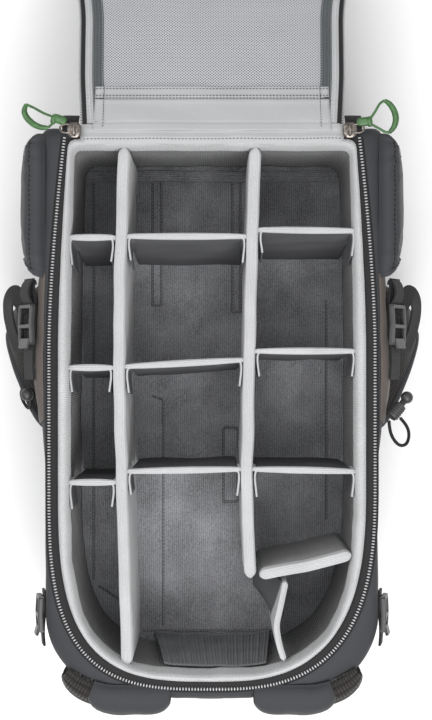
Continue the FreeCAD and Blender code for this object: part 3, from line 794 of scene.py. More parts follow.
def bound_edge(start, end, thick, low, top, lean, sag, seed):
    """The light binding: a rounded strip carried up one end of a board, along its top and down the other end.
    Its thickness across the board is thick (0.6 + 0.4 sin(pi share)^0.6), slimmer towards both ends."""
    start, end = np.array(start, float), np.array(end, float)
    corners = np.array([(0.0, low), (0.0, top), (1.0, top), (1.0, low)])
    length = np.linalg.norm(end - start)
    flat = softened(evenly(corners * (length, 1), 240), 3.5, closed=False)
    share = flat[:, 0] / length
    rise = (flat[:, 1] - low) / (top - low)
    drop = (sag * np.sin(np.pi * share) - 0.7 * ripple(share * length, 0 * share, 22, seed)) * rise ** 2
    plan = start + (end - start) * share[:, None]
    plan[:, 1] -= lean * (1 - (flat[:, 1] - divider_low) / (divider_top - divider_low))
    path = np.column_stack([plan, flat[:, 1] - drop])
    normal = np.array([-(end - start)[1], (end - start)[0], 0]) / length
    strip_rings = carried(path, rounded_section(4.5, thick, 1.9, 20), up=normal)
    across = (strip_rings - path[:, None]) @ normal
    slimmer = 0.4 * (1 - np.clip(np.sin(np.pi * np.clip(share, 0, 1)), 0, 1) ** 0.6)
    strip_rings -= (slimmer[:, None] * across)[..., None] * normal
    return skin(strip_rings, wrap_columns=True, cap=True)


def end_tab(x, y, side, length, lean):
    """A folded tab: a thin strip that turns off the divider's end and lies along the wall towards the top end."""
    line = softened(evenly([(x + side * 6, y - 1), (x + side * 1.0, y - 1.5), (x + side * 0.6, y - 9),
                            (x + side * 2.4, y - length)], 40), 3, closed=False)
    seed = int(abs(x * 7 + y))
    flag = board(line, 1.9, divider_top - 58, divider_top - 2.0, lean * 0.4, seed, 0.0, 0.5, 40)
    edge = skin(carried(lifted(line, divider_top - 1.6), rounded_section(1.6, 2.4, 0.75, 14)), wrap_columns=True,
                cap=True)
    return flag, edge


def short_row(name, start, end, lean, seed, thick=6.4, sag=1.2):
    """One short divider: the faced board, its binding and its two end tabs."""
    inner_start = (start[0] + 1.5, start[1])
    inner_end = (end[0] - 1.5, end[1])
    foam = board([inner_start, inner_end], thick - 1.6, divider_low, divider_top - 2, lean, seed, sag, 0.9, 70)
    put(name + "_board", [foam], smooth_face, name, (name,))
    start_tab, start_edge = end_tab(start[0], start[1], 1, 21 + seed % 5, lean)
    far_tab, far_edge = end_tab(end[0], end[1], -1, 20 + seed % 7, lean)
    put(name + "_binding", [bound_edge(start, end, thick, divider_top - 45, divider_top - 1.8, lean, sag, seed),
                            start_edge, far_edge], light_felt, name)
    put(name + "_tabs", [start_tab, far_tab], tab_face, name)


short_rows = {
    "left": [(161, 161, 15), (43, 43, 8), (-61, -61, 0)],
    "middle": [(162, 162, 15), (44, 50, 8), (-51, -49, 0)],
    "right": [(168, 167, 15), (58, 58, 6), (-49, -51, 0)],
}
for column, rows in short_rows.items():
    for number, (y0, y1, lean) in enumerate(rows):
        half_board = 6.5
        from_x = -129.0 if column == "left" else at_long("left" if column == "middle" else "right", y0) + half_board
        to_x = 129.0 if column == "right" else at_long("left" if column == "left" else "right", y1) - half_board
        short_row(f"divider_{column}_{number + 1}", (from_x, y0), (to_x, y1), lean, 40 + 7 * number + len(column))


# ---- Thick slanting divider and bent divider ----
# Near the top end a thicker felt-covered board stands across the right column, and a thin one folded at its
# middle props the corner. A triangle of smooth facing fills the fold.

# Painted shade: this board's felt is darkened on its side faces from 7 mm below its top downwards.
painted_shade_felt = brushed("painted_shade_felt", felt_light, face=(divider_top - 7) * MM)
thick_foam = board([(43, -145), (84, -137), (126, -126.5)], 11.0, divider_low, divider_top, 0, 61, 0, 0.9)
put("divider_right_4_board", [thick_foam], painted_shade_felt, "divider_right_4",
              ("divider_right_4",))
bent_line = softened(evenly([(66.5, -151), (62.5, -169), (57.8, -190), (60.5, -207), (65, -222)], 80), 6, closed=False)
put("divider_bent_board", [board(bent_line, 5.6, divider_low, divider_top, 0, 62, 0, 0.8)], light_felt,
              "divider_bent", ("divider_bent",))
fold_s = np.linspace(0, 1, 24)
fold_t = np.linspace(0, 1, 40)
fold_u, fold_v = np.meshgrid(fold_s, fold_t, indexing="ij")
fold_top = np.stack([np.interp(fold_t, [0, 1], [64, 56.0]), np.interp(fold_t, [0, 1], [-152, -193])], 1)
fold_foot = np.stack([np.interp(fold_t, [0, 0.5, 1], [42, 40, 55.0]), np.interp(fold_t, [0, 1], [-153, -192])], 1)
fold_grid = np.empty((24, 40, 3))
fold_grid[..., :2] = fold_top[None] + (fold_foot - fold_top)[None] * fold_s[:, None, None]
fold_grid[..., 2] = 222 - 120 * fold_u ** 0.8 - 6 * np.sin(np.pi * fold_v)
gusset = thicken(put("divider_bent_gusset", [skin(fold_grid)], tab_face, "divider_bent"), 1.2)


# ---- End pocket ----
# A ribbed elastic panel covers the wall at the pack's top end, with a double hem along its lower edge.

elastic_panel = brushed("ribbed_elastic", (0.2, 0.203, 0.212), 0.0027, 0.0006, 0.6, 0.14, 0.1, 0.1)
pocket_u = np.linspace(-1, 1, 90)
pocket_v = np.linspace(0, 1, 50)
pu, pv = np.meshgrid(pocket_u, pocket_v, indexing="ij")
pocket_half = 57 - 10 * pv
pocket_ribs = 0.55 * np.cos(pu * 55 * 2 * np.pi / 3.2)
pocket_grid = np.stack([3 * pv + pu * pocket_half, -222.5 - 6 * pv - 3 * (1 - pu ** 4) + pocket_ribs
                        + 1.0 * ripple(pu * 50, pv * 120, 30, 71), 91 + 118 * pv], -1)
end_panel = thicken(put("end_pocket_panel", [skin(pocket_grid)], elastic_panel, "root",
                        ("end_pocket",)), 1.6)
hem_line = np.stack([pocket_grid[:, 0, 0], pocket_grid[:, 0, 1] + 0.8, pocket_grid[:, 0, 2] + 0 * pocket_u], 1)
put("end_pocket_hem", [skin(carried(hem_line, rounded_section(6, 3, 1.4, 18)), wrap_columns=True, cap=True)],
    tab_face, "root")


# ---- Back panel ----
# The swinging panel is foam in charcoal cloth, drawn shut over the opening and swung open about its hinge. Its
# inner side has a mesh pocket with a light hem, edged by a ribbed stretch binding, a fat ribbed piping and the tape.

hinge_y, hinge_z = 256.0, 236.0
panel_open = np.radians(207.0)
panel_base = hinge_z + 0.8
panel_stations = np.array([(248, 117.5), (194, 121.5), (121, 123.5), (31, 134.5), (-60, 142)], float)
panel_depth = 185.0
panel_power = 2.65


def swung_open(points):
    """Points drawn with the panel shut, turned about the hinge line: a turn about X by minus the opening angle."""
    points = np.array(points, float)
    y, z = points[..., 1] - hinge_y, points[..., 2] - hinge_z
    c, s = np.cos(-panel_open), np.sin(-panel_open)
    return np.stack([points[..., 0], hinge_y + y * c - z * s, hinge_z + y * s + z * c], -1)


def panel_half(y, inset=0.0):
    """Half width of the panel at a station: even steps between its stations, then a superellipse round the end."""
    y = np.asarray(y, float)
    side = np.interp(y, panel_stations[::-1, 0], panel_stations[::-1, 1]) - inset
    q = np.clip((widest_to - y) / (panel_depth - inset), 0, 1)
    return np.where(y > widest_to, side, (142 - inset) * (1 - q ** panel_power) ** (1 / panel_power))


def panel_line(inset, count=420):
    """The panel's edge that far inside, from the hinge's left end round the panel's end to the right."""
    y = np.concatenate([np.linspace(248 - 0.2 * inset, widest_to, 120),
                        widest_to - (panel_depth - inset) * np.sin(np.linspace(0, np.pi / 2, 160))[1:]])
    half = np.stack([-panel_half(y, inset), y], 1)
    return softened(evenly(np.vstack([half, (half * (-1, 1))[::-1][1:]]), count), 12, closed=False)


def panel_strip(inset, width, thick, z, count=420, wave=None):
    """A flat strip that follows the panel's edge, swung open with it."""
    path = lifted(panel_line(inset, count), z)
    grid = carried(path, rounded_section(width, thick, 0.45 * thick, 20))
    if wave is not None:
        grid[..., 2] += wave[:, None] * np.sign(grid[..., 2] - z)
    return skin(swung_open(grid), wrap_columns=True, cap=True)


panel_rows = np.concatenate([np.linspace(247, widest_to, 70),
                             widest_to - (panel_depth - 9.5) * np.sin(np.linspace(0, np.pi / 2, 46))[1:]])
panel_columns = np.linspace(-1, 1, 61)
panel_y, panel_t = np.meshgrid(panel_rows, panel_columns, indexing="ij")
panel_x = panel_t * np.maximum(panel_half(panel_y, 9.0), 0.5)
edge_share = np.clip(1 - np.abs(panel_t) ** 8, 0, 1) ** 0.5
end_share = np.clip((panel_y - (widest_to - panel_depth + 9)) / 10, 0, 1) ** 0.5
panel_upper = panel_base + 4 + 8 * edge_share * end_share + 0.5 * ripple(panel_x, panel_y, 70, 81)
panel_lower = panel_base + 3.2 - 0.6 * edge_share * end_share
around = np.concatenate([np.stack([panel_x, panel_y, panel_upper], -1),
                         np.stack([panel_x, panel_y, panel_lower], -1)[:, ::-1]], 1)
put("back_panel_foam", [skin(swung_open(around), wrap_columns=True, cap=True)], charcoal_nylon, "flap",
              ("flap_panel",))

piping_felt = brushed("ribbed_piping", (0.4, 0.405, 0.415), 0.0034, 0.0006, 0.5, 0.08, 0.1, 0.3)
stretch_binding = brushed("stretch_binding", (0.075, 0.084, 0.088), 0.0034, 0.0006, 0.8, 0.1, 0.1, 0.1)
ring_step = np.cos(np.arange(900) * 2 * np.pi / 3.4)
put("panel_piping", [panel_strip(8.0, 7.2, 5.4, panel_base + 2.4, 900, 0.25 * ring_step)], piping_felt, "flap",
    ("flap_piping",))
put("panel_binding", [panel_strip(16.4, 10.4, 2.4, panel_base + 1.6, 900, 0.25 * ring_step)], stretch_binding, "flap",
    ("flap_binding",))
put("panel_zip_tape", [panel_strip(2.4, 4.8, 1.1, panel_base + 1.2)], zip_tape_cloth, "flap",
    ("flap_zipper_tape",))
panel_teeth = evenly(lifted(panel_line(0.0, 600), panel_base + 1.6), int(1180 / tooth_pitch))
panel_teeth_in = np.cross(np.array([0, 0, 1.0]), np.gradient(panel_teeth, axis=0))
teeth_points, teeth_faces, teeth_uv, teeth_over = many(
    tooth, panel_teeth, panel_teeth_in, np.tile([0, 0, 1.0], (len(panel_teeth), 1)))
put("panel_zip_teeth", [(swung_open(teeth_points), teeth_faces, teeth_uv, teeth_over)], zip_teeth_nylon, "flap",
    ("flap_zipper_coil",))
put("panel_stitches", [(swung_open(p), f, u, t) for p, f, u, t in
                       (stitches(lifted(panel_line(inset), panel_base + z), 3.0, 2.1, 0.6, (0, 0, -1))
                        for inset, z in ((12.2, 0.1), (20.4, 0.1)))], seam_cloth, "flap")

net, net_tree, net_surface = shader("pocket_net", 0.7, Sheen_Weight=0.3)
net_place = node(net_tree, "Mapping", Vector=node(net_tree, "TexCoord").outputs["UV"],
                 Rotation=(0, 0, np.pi / 4)).outputs[0]
net_cells = sums(net_tree, "MULTIPLY", ridges(net_tree, net_place, 0.0021), ridges(net_tree, net_place, 0.0021, "Y"))
net_spots = node(net_tree, "TexCoord").outputs["Object"]
net_share = sums(net_tree, "ADD", net_cells, sums(net_tree, "MULTIPLY", cloud(net_tree, net_spots, 0.03), 0.12))
net_shade = colour_between(net_tree, net_share, (0.43, 0.437, 0.455), (0.06, 0.062, 0.068), 0.2, 0.6)
net_tree.links.new(net_shade, net_surface.inputs["Base Color"])
raise_surface(net_tree, net_surface, sums(net_tree, "SUBTRACT", 1.0, net_cells), 0.0004)

net_rows = np.concatenate([np.linspace(208, widest_to, 60),
                           widest_to - (panel_depth - 18) * np.sin(np.linspace(0, np.pi / 2, 40))[1:]])
net_y, net_t = np.meshgrid(net_rows, np.linspace(-1, 1, 61), indexing="ij")
net_x = net_t * np.maximum(panel_half(net_y, 20.0), 0.5)
net_swell = (1 - net_t ** 6) * np.clip((208 - net_y) / 60, 0, 1)
net_z = panel_base + 1.4 - 1.6 * net_swell - 0.5 * ripple(net_x, net_y, 80, 82) * net_swell
net_piece = put("mesh_pocket", [skin(swung_open(np.stack([net_x, net_y, net_z], -1)), turn_over=True)], net, "flap",
                ("flap_mesh_pocket",))
thicken(net_piece, 0.8)

hem_y = np.concatenate([np.linspace(254.5, 209, 40), np.linspace(208, 206.5, 4)])
hem_gy, hem_t = np.meshgrid(hem_y, np.linspace(-1, 1, 80), indexing="ij")
hem_x = hem_t * (106.5 + 1.5 * np.clip((hem_gy - 225) / 25, 0, 1))
hem_z = panel_base - 0.1 - 0.5 * np.exp(-((hem_gy - 222) / 3) ** 2) - 0.7 * ripple(hem_x, hem_gy * 1.5, 45, 83) \
    + 0.8 * groove(hem_gy - 219.5, 2.0) + 0.8 * groove(hem_gy - 246, 2.0)
hem_piece = thicken(put("pocket_hem", [skin(swung_open(np.stack([hem_x, hem_gy, hem_z], -1)), turn_over=True)],
                        light_cloth, "flap", ("flap_pocket_hem",)), 1.2)
hem_rows = []
for y in (209.0, 216.5, 219.5):
    x = np.linspace(-105, 105, 120)
    hem_rows.append(stitches(np.column_stack([x, 0 * x + y, 0 * x + panel_base - 0.5]), 3.0, 2.0, 0.7, (0, 0, -1)))
for side in (-1, 1):
    y = np.linspace(208, 250, 40)
    hem_rows.append(stitches(np.column_stack([0 * y + side * 98.5, y, 0 * y + panel_base - 0.5]), 3.0, 2.0, 0.7,
                             (0, 0, -1)))
put("hem_stitches", [(swung_open(p), f, u, t) for p, f, u, t in hem_rows], stitch_grey, "flap")


# ---- Back pads ----
# Four foam pads in knitted air mesh are sewn to the panel's outer side, against the wearer's back.


def air_mesh(name, colour, pitch, depth, holes=0.75):
    """Knitted spacer mesh. Height = crossed ridges over the piece's own UV map, with dark holes between them."""
    material, tree, surface = shader(name, 0.85, Sheen_Weight=0.15, Specular_IOR_Level=0.25)
    spots = node(tree, "TexCoord")
    cells = sums(tree, "MULTIPLY", ridges(tree, spots.outputs["UV"], pitch, "X", 0.8),
                 ridges(tree, spots.outputs["UV"], pitch * 1.5, "Y", 0.8))
    broad = sums(tree, "MULTIPLY", cloud(tree, spots.outputs["Object"], 0.03), 0.2)
    shade = colour_between(tree, sums(tree, "ADD", cells, broad), [c * (1 - holes) for c in colour], colour, 0.05, 0.5)
    tree.links.new(shade, surface.inputs["Base Color"])
    raise_surface(tree, surface, cells, depth)
    return material


def pad(outline_half, thick, rows=40, columns=60, power=5.0, crown=0.75, seed=0):
    """A pad lying flat about the origin: half sizes (x, y). Height = thick (1 - |u|^p)^crown (1 - |v|^p)^crown on the
    upper side over a flat underside. Returns its upper and lower grids."""
    u, v = np.meshgrid(np.linspace(-1, 1, rows), np.linspace(-1, 1, columns), indexing="ij")
    squeeze = np.sqrt(1 - 0.5 * (np.abs(u) * np.abs(v)) ** 6)
    x, y = u * outline_half[0] * squeeze, v * outline_half[1] * squeeze
    full = np.clip(1 - np.abs(u) ** power, 0, 1) ** crown * np.clip(1 - np.abs(v) ** power, 0, 1) ** crown
    top = thick * full + 0.4 * full * ripple(x, y, 35, seed)
    return np.stack([x, y, top], -1), np.stack([x, y, -0.4 * full], -1)


def closed_pad(upper, lower):
    """Both sides of a pad as one closed ring of surface."""
    return skin(np.concatenate([upper, lower[:, ::-1]], 1), wrap_columns=True, cap=True)


def stuffed(piece, held, pressure, most, frames=20):
    """Blender's cloth blows a padded piece up from within. held marks the points that seams hold in place. No
    point moves further than most millimetres: step = step * min(1, most / |step|)."""
    seams = piece.vertex_groups.new(name="seams")
    seams.add(np.flatnonzero(held).tolist(), 1.0, "REPLACE")
    cloth = piece.modifiers.new("stuffing", "CLOTH")
    cloth.settings.quality = 6
    cloth.settings.mass = 0.3
    cloth.settings.tension_stiffness = 12.0
    cloth.settings.compression_stiffness = 12.0
    cloth.settings.bending_stiffness = 0.6
    cloth.settings.use_pressure = True
    cloth.settings.uniform_pressure_force = pressure
    cloth.settings.vertex_group_mass = seams.name
    cloth.settings.effector_weights.gravity = 0.0
    cloth.point_cache.frame_start, cloth.point_cache.frame_end = 1, frames
    for frame in range(1, frames + 1):
        scene.frame_set(frame)
    shown = piece.evaluated_get(bpy.context.evaluated_depsgraph_get()).data
    moved_to, start = np.empty(3 * len(held)), np.empty(3 * len(held))
    shown.vertices.foreach_get("co", moved_to)
    piece.data.vertices.foreach_get("co", start)
    step = (moved_to - start).reshape(-1, 3)
    far = np.linalg.norm(step, axis=1)[:, None]
    step *= np.minimum(1.0, most * MM / np.maximum(far, 1e-9))
    piece.modifiers.remove(cloth)
    piece.vertex_groups.clear()
    piece.data.vertices.foreach_set("co", start + step.ravel())
    piece.data.update()
    scene.frame_set(1)
    return piece


pad_mesh = air_mesh("back_air_mesh", (0.045, 0.045, 0.048), 0.0032, 0.0006)
pad_half, pad_thick = (43.5, 69.5), 10.5
pad_middles = [(-56, -80), (56, -80), (-56, 70), (56, 70)]
pad_patches = []
for pad_number, pad_at in enumerate(pad_middles):
    upper, lower = pad(pad_half, pad_thick, seed=90 + pad_number)
    shift = np.array([*pad_at, panel_base + 12.3])
    pad_patches.append(closed_pad(swung_open(upper + shift), swung_open(lower + shift)))
pad_u, pad_v = np.meshgrid(np.linspace(-1, 1, 40), np.linspace(-1, 1, 60), indexing="ij")
pad_edge = (np.abs(pad_u) > 0.9) | (np.abs(pad_v) > 0.93)
underside = np.ones_like(pad_edge)
pad_held = np.tile(np.concatenate([pad_edge, underside], 1).ravel(), len(pad_patches))
pad_pressure, pad_most = 4.0, 3.0
back_pads = put("back_pads_mesh", pad_patches, pad_mesh, "flap", ("back_pads",))
stuffed(back_pads, pad_held, pad_pressure, pad_most)


# ---- Zip sliders, pulls and garages ----
# Cast gunmetal sliders with a wire loop, each with a moulded green pull: a small block and a thin loop with a
# thick curved grip. Black fabric tabs behind them take the ends of the zip.

gunmetal = moulded("gunmetal", 0.32, (0.1, 0.085, 0.075), (0.26, 0.23, 0.21), 0.003, 0.0009, 0.0001, Metallic=0.9)
green_rubber = moulded("green_rubber", 0.42, (0.014, 0.062, 0.01), (0.04, 0.13, 0.03), 0.004, 0.0007, 0.00012,
                       Coat_Weight=0.25, Coat_Roughness=0.3)


def circle(radius, count=12):
    """A round section."""
    a = np.arange(count) / count * 2 * np.pi
    return np.stack([radius * np.cos(a), radius * np.sin(a)], 1)


def rod(route, radius, count=40, soften=2.0, closed=False, scale=None, up=(0, 0, 1)):
    """A round bar along a smooth route. scale gives its thickness along the way."""
    path = evenly(route, count, closed)
    path = softened(path, soften, closed)
    both = None if scale is None else np.stack([scale(np.linspace(0, 1, count))] * 2, 1)
    return skin(carried(path, circle(radius), up=up, closed=closed, scale=both), wrap_rows=closed, wrap_columns=True,
                cap=not closed)


def moved(shape, at, way):
    """One small closed shape put in a place, its x along way."""
    return many(shape, np.array([at], float), np.array([way], float), np.array([(0, 0, 1)], float))


pull_routes = {
    "left": {"block": (-137.0, 265.5), "way": (-1.0, 0.35),
             "grip": [(-166.5, 279), (-168.8, 272.5), (-166, 266.5), (-160, 261), (-153.5, 258.2), (-147, 258)],
             "upper": [(-143, 268), (-151, 271), (-159, 275.5), (-166.5, 279)],
             "lower": [(-147, 258), (-144.5, 260), (-142, 263)]},
    "right": {"block": (136.5, 263.5), "way": (1.0, 0.1),
              "grip": [(154.5, 282.5), (159.5, 279.5), (163.6, 273), (165.2, 266), (163.6, 259), (159, 253.5)],
              "upper": [(141.5, 265.5), (146, 272), (150.2, 279.5), (154.5, 282.5)],
              "lower": [(159, 253.5), (155, 254.2), (150, 257.2), (142, 261.5)]},
}
for side, routes in pull_routes.items():
    z = 240.6
    thick_grip = rod(lifted(np.array(routes["grip"], float), z), 2.9, 40, 3.0,
                     scale=lambda s: 0.5 + 0.5 * np.sin(np.pi * np.clip(s, 0.02, 0.98)) ** 0.5)
    thin = [rod(lifted(np.array(routes[run], float), z), 1.15, 26, 2.0) for run in ("upper", "lower")]
    block = moved(pebble(13.5, 8.0, 5.0, 16, 11, 3.4), (*routes["block"], z), (*routes["way"], 0))
    bead = moved(pebble(5.0, 9.4, 5.4, 16, 9, 3.0), (routes["block"][0] * 1.035, routes["block"][1], z),
                 (*routes["way"], 0))
    put("pull_grip_" + side, [thick_grip, *thin, block, bead], green_rubber, "pull_" + side,
        ("pull_" + side,))

for side, sign in (("left", -1), ("right", 1)):
    at = np.array([sign * 123.6, 256.0, 240.0])
    body = moved(pebble(13.5, 12.5, 4.2, 24, 15, 3.2), at, (0, 1, 0))
    arch = rod([at + (0, -4.5, 1.0), at + (0, -4.2, 3.4), at + (0, 0, 4.4), at + (0, 4.2, 3.4), at + (0, 4.5, 1.0)],
               1.5, 26, 1.2, up=(1, 0, 0))
    dimple = rod(lifted(at[:2] + 3.6 * circle(1.0, 40), 242.2), 0.9, 40, 0.4, closed=True)
    wire_middle = at + (sign * 7.2, 1.2, 0.9)
    wire_loop = lifted(circle(1.0, 48) * (5.6, 3.9), 0)
    wire = rod(wire_middle + wire_loop, 0.95, 48, 0.6, closed=True)
    put("slider_body_" + side, [body, arch, dimple, wire], gunmetal, "slider_" + side,
        ("slider_" + side,))

garage_patches = []
for sign in (-1, 1):
    x, y = np.meshgrid(np.linspace(-1, 1, 22), np.linspace(0, 1, 24), indexing="ij")
    fold = 224.5 + 7.5 * np.sin(np.pi * np.clip(y, 0, 1)) ** 0.8 - 6 * y
    grid = np.stack([sign * 128 + x * 7.5, 252 + 19 * y, fold + 0.5 * ripple(x * 7, y * 20, 12, 96)], -1)
    garage_patches.append(skin(grid, turn_over=True))
webbing = woven("black_webbing", (0.013, 0.013, 0.014), 0.0019, 0.0004, 0.12, 0.14, 0.7, 0.03)
thicken(put("zip_garage_tabs", garage_patches, webbing, "root", ("zip_garages",)), 1.6)


# ---- Hip belt wings ----
# A padded wing of foam in charcoal nylon hangs from a sewn root on each side. A row of stitches runs round it
# near its edge, and the cloth puckers between the stitches and the seam.

wing_low, wing_high = (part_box("hip_wing_left")[k].y / MM for k in (0, 1))
wing_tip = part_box("hip_wing_left")[0].z / MM
wing_route = [(-151.5, 227.5), (-153.5, 230.5), (-158.5, 232.0), (-163.5, 230.0), (-167.5, 221.0), (-170.0, 200),
              (-171.5, 160), (-172.0, 120), (-171.5, 92), (-169.5, wing_tip)]


wing_rows, wing_columns = 120, 96
wing_length = 186.0
row_run = 15.0
seam_columns = (8, 40)


def wing_surface(rows, columns):
    """The left wing. Its middle line runs from the root over and down; across it a section y = half cos(a)^0.45,
    t = thick sin(a)^0.7 is carried. Its half width rounds off at the tip, and its thickness dips at the stitches,
    of which one row crosses the wing row_run from its root."""
    line = softened(evenly(wing_route, rows), 6, closed=False)
    path = np.column_stack([line[:, 0], np.full(rows, 0.5 * (wing_low + wing_high)), line[:, 1]])
    way = np.gradient(path, axis=0)
    way /= np.linalg.norm(way, axis=1)[:, None]
    out = np.cross(np.array([0, 1.0, 0]), way)
    s = np.linspace(0, 1, rows)
    run = s * np.linalg.norm(np.diff(line, axis=0), axis=1).sum()
    left_run = run[-1] - run
    tip = np.clip(1 - (np.clip(34 - left_run, 0, 34) / 34) ** 2, 0, 1)
    half = 0.5 * (wing_high - wing_low) + 2.5 - 15 * (0.5 - 0.5 * np.cos(np.pi * np.clip((run - 4) / 34, 0, 1)))
    half -= 26 * (1 - np.sqrt(tip))
    thick = 5.6 * np.clip(np.sin(np.pi / 2 * np.clip(run / 30, 0.06, 1)), 0, 1) ** 0.8
    thick *= np.clip(left_run / 10, 0.12, 1) ** 0.5
    a = np.linspace(0, 2 * np.pi, columns, endpoint=False)
    across = np.sign(np.cos(a)) * np.abs(np.cos(a)) ** 0.45
    swell = np.sign(np.sin(a)) * np.abs(np.sin(a)) ** 0.7
    y = across[None] * half[:, None]
    from_edge = np.minimum(half[:, None] - np.abs(y), left_run[:, None])
    dip = 1 - 0.5 * groove(from_edge - 6, 3.2)
    dip = dip * (1 - 0.4 * groove(run - row_run, 4.0))[:, None]
    pucker = ripple(y, run[:, None] * 0.35, 9, 101) * np.clip(from_edge / 6, 0, 1)
    pucker *= 0.4 + 1.1 * np.exp(-(((run - row_run) / 10) ** 2))[:, None]
    t = swell[None] * thick[:, None] * dip + 0.75 * pucker + 0.5 * ripple(y, run[:, None], 34, 102)
    grid = path[:, None] + out[:, None] * t[..., None]
    grid[..., 1] += y
    return grid


wing = wing_surface(wing_rows, wing_columns)
wing_nylon = woven("wing_nylon", (0.036, 0.037, 0.041), 0.0011, 0.00014, 0.2, 0.1, 0.7, 0.1)


def as_drawn(patch):
    """The surface as it is: pieces that come in pairs are drawn on the left."""
    return patch


def mirrored(patch):
    """The same surface on the other side of the pack."""
    points, faces, uv, turn_over = patch
    return points * (-1, 1, 1), faces, uv, not turn_over


both_sides = (("left", as_drawn), ("right", mirrored))
wing_patch = skin(wing, wrap_columns=True, cap=True)
cross_row = int(round(row_run / wing_length * (wing_rows - 1)))
wing_row, wing_column = np.meshgrid(np.arange(wing_rows), np.arange(wing_columns), indexing="ij")
near_seam = np.abs(wing_column[..., None] - np.array(seam_columns)).min(-1) < 2
inner_face = wing_column >= wing_columns // 2
wing_held = (near_seam | inner_face | (np.abs(wing_row - cross_row) < 2) | (wing_row < 5)).ravel()
wing_stitches = [stitches(wing[14:108, k] + (-0.4, 0, 0.3), 3.4, 2.4, 0.8, (-1, 0, 0)) for k in seam_columns]
wing_stitches.append(stitches(wing[cross_row, 9:40] + (-0.2, 0, 0.4), 4.2, 2.9, 1.1, (-0.3, 0, 0.9)))
for side, flip in both_sides:
    piece = put("hip_wing_pad_" + side, [flip(wing_patch)], wing_nylon, "wing_" + side,
                ("hip_wing_" + side,))
    stuffed(piece, wing_held, pad_pressure, pad_most)
    put("hip_wing_stitches_" + side, [flip(p) for p in wing_stitches], black_elastic, "wing_" + side)

belt = np.column_stack([[-171.2] * 30, [190.0] * 30, np.linspace(76, 38, 30)])
belt_patch = skin(carried(belt, rounded_section(38, 2.2, 1.0, 30), up=(-1, 0, 0)), wrap_columns=True, cap=True)
plastic = moulded("buckle_acetal", 0.4, (0.016, 0.016, 0.017), (0.03, 0.03, 0.032), 0.02, 0.0005, 0.00005,
                  Specular_IOR_Level=0.5)
for side, flip in both_sides:
    put("hip_webbing_" + side, [flip(belt_patch)], webbing, "wing_" + side, ("hip_strap_" + side,))


def plate(outline, z_low, z_high, edge=0.8, count=120):
    """A moulded plate: a closed outline raised between two heights, its edges rounded by a quarter turn. Rings go
    from the middle of the underside, round the edge, to the middle of the top."""
    line = softened(evenly(outline, count, True), 1.0)
    centre = line.mean(0)
    size = np.abs(line - centre).max()
    rings = []
    for t in np.linspace(-np.pi / 2, np.pi / 2, 11):
        pull_in = 1 - edge / size * (1 - np.cos(t))
        middle = 0.5 * (z_low + z_high)
        rings.append(lifted(centre + (line - centre) * pull_in, middle + (0.5 * (z_high - z_low)) * np.sin(t)))
    return np.array(rings)


def stood(grid, at, tilt):
    """A piece drawn flat about the origin, leaned over about Y by minus tilt degrees and put in its place."""
    c, s = np.cos(np.radians(-tilt)), np.sin(np.radians(-tilt))
    grid = np.asarray(grid, float)
    return np.stack([grid[..., 0] * c + grid[..., 2] * s + at[0], grid[..., 1] + at[1],
                     -grid[..., 0] * s + grid[..., 2] * c + at[2]], -1)


def buckle_frame(width, length):
    """A ladder-lock: two side rails, three cross bars and a lifting tab, each a rounded bar, drawn flat."""
    bar, height = 3.0, 5.0
    x, y = width / 2 - bar / 2, length / 2 - bar / 2
    rails = [[(side * x, -y, 0), (side * x, 0, 0.8), (side * x, y, 0)] for side in (-1, 1)]
    bars = [[(-x, place, lift), (x, place, lift)] for place, lift in ((-y, 0), (-1.5, 0.8), (y, 0))]
    section = rounded_section(bar + 0.8, height, 1.1, 16)
    patches = []
    for route in rails + bars:
        path = evenly(route, 14)
        patches.append(carried(path, section))
    tab = np.column_stack([np.zeros(12), np.linspace(-length / 2 - 3.5, -length / 2 + 5, 12),
                           np.linspace(3.6, 1.4, 12)])
    patches.append(carried(tab, rounded_section(width * 0.72, 2.6, 1.1, 24)))
    return patches


def hip_buckle_patches(prongs):
    """One half of the belt's side-release buckle, hanging flat against the pack, with its rounded shoulders."""
    buckle_x = -171.3
    low = 20.5 if prongs else 9.5
    outline = [(165.5, 45), (215, 45), (214, low + 8), (206, low), (174, low), (166, low + 8)]
    body = plate(outline, -5.0, 5.0, 2.2)
    grids = [np.stack([buckle_x + body[..., 2], body[..., 0], body[..., 1]], -1)]
    if prongs:
        for y in (172.5, 190.0, 207.5):
            path = np.column_stack([[buckle_x] * 12, [y] * 12, np.linspace(24, 8.4, 12)])
            grids.append(carried(path, rounded_section(6.5, 5.0, 1.6, 16), up=(-1, 0, 0)))
    return [skin(grid, wrap_columns=True, cap=True) for grid in grids]


put("belt_buckle_socket", hip_buckle_patches(False), plastic, "wing_left", ("hip_buckle_socket",))
put("belt_buckle_prongs", [mirrored(p) for p in hip_buckle_patches(True)], plastic, "wing_right",
    ("hip_buckle_prongs",))


# ---- Side compression straps ----
# On each side a webbing strap with a ladder-lock leans against the pack's shoulder. Its spare end is folded back
# into a loop beside the buckle.

side_at = (-169.0, 82.0, 216.0)
side_tilt = 62.0
strap_path = np.column_stack([np.zeros(60), np.linspace(-50, 42, 60), -3.2 + 1.2 * np.sin(np.linspace(0, 7, 60))])
strap_grid = stood(carried(strap_path, rounded_section(23, 2.2, 1.0, 30)), side_at, side_tilt)
tab_path = evenly([(3, 17, -2), (3, 24, 2.5), (3, 30, 3.5), (3, 38, 1.0), (3, 41, -3), (3, 36, -4.0)], 50)
tab_grid = stood(carried(softened(tab_path, 3, False), rounded_section(21, 2.2, 1.0, 30)), side_at, side_tilt)
spare_path = evenly([(-172, 92, 206), (-176, 104, 203), (-183, 112, 196), (-190, 106, 188), (-191, 92, 180),
                     (-188, 74, 172), (-182, 58, 166)], 80)
spare_grid = carried(softened(spare_path, 8, False), rounded_section(19, 2.0, 0.9, 30), up=(-0.75, 0.1, 0.65))
side_lock = [stood(grid, side_at, side_tilt) for grid in buckle_frame(31, 36)]
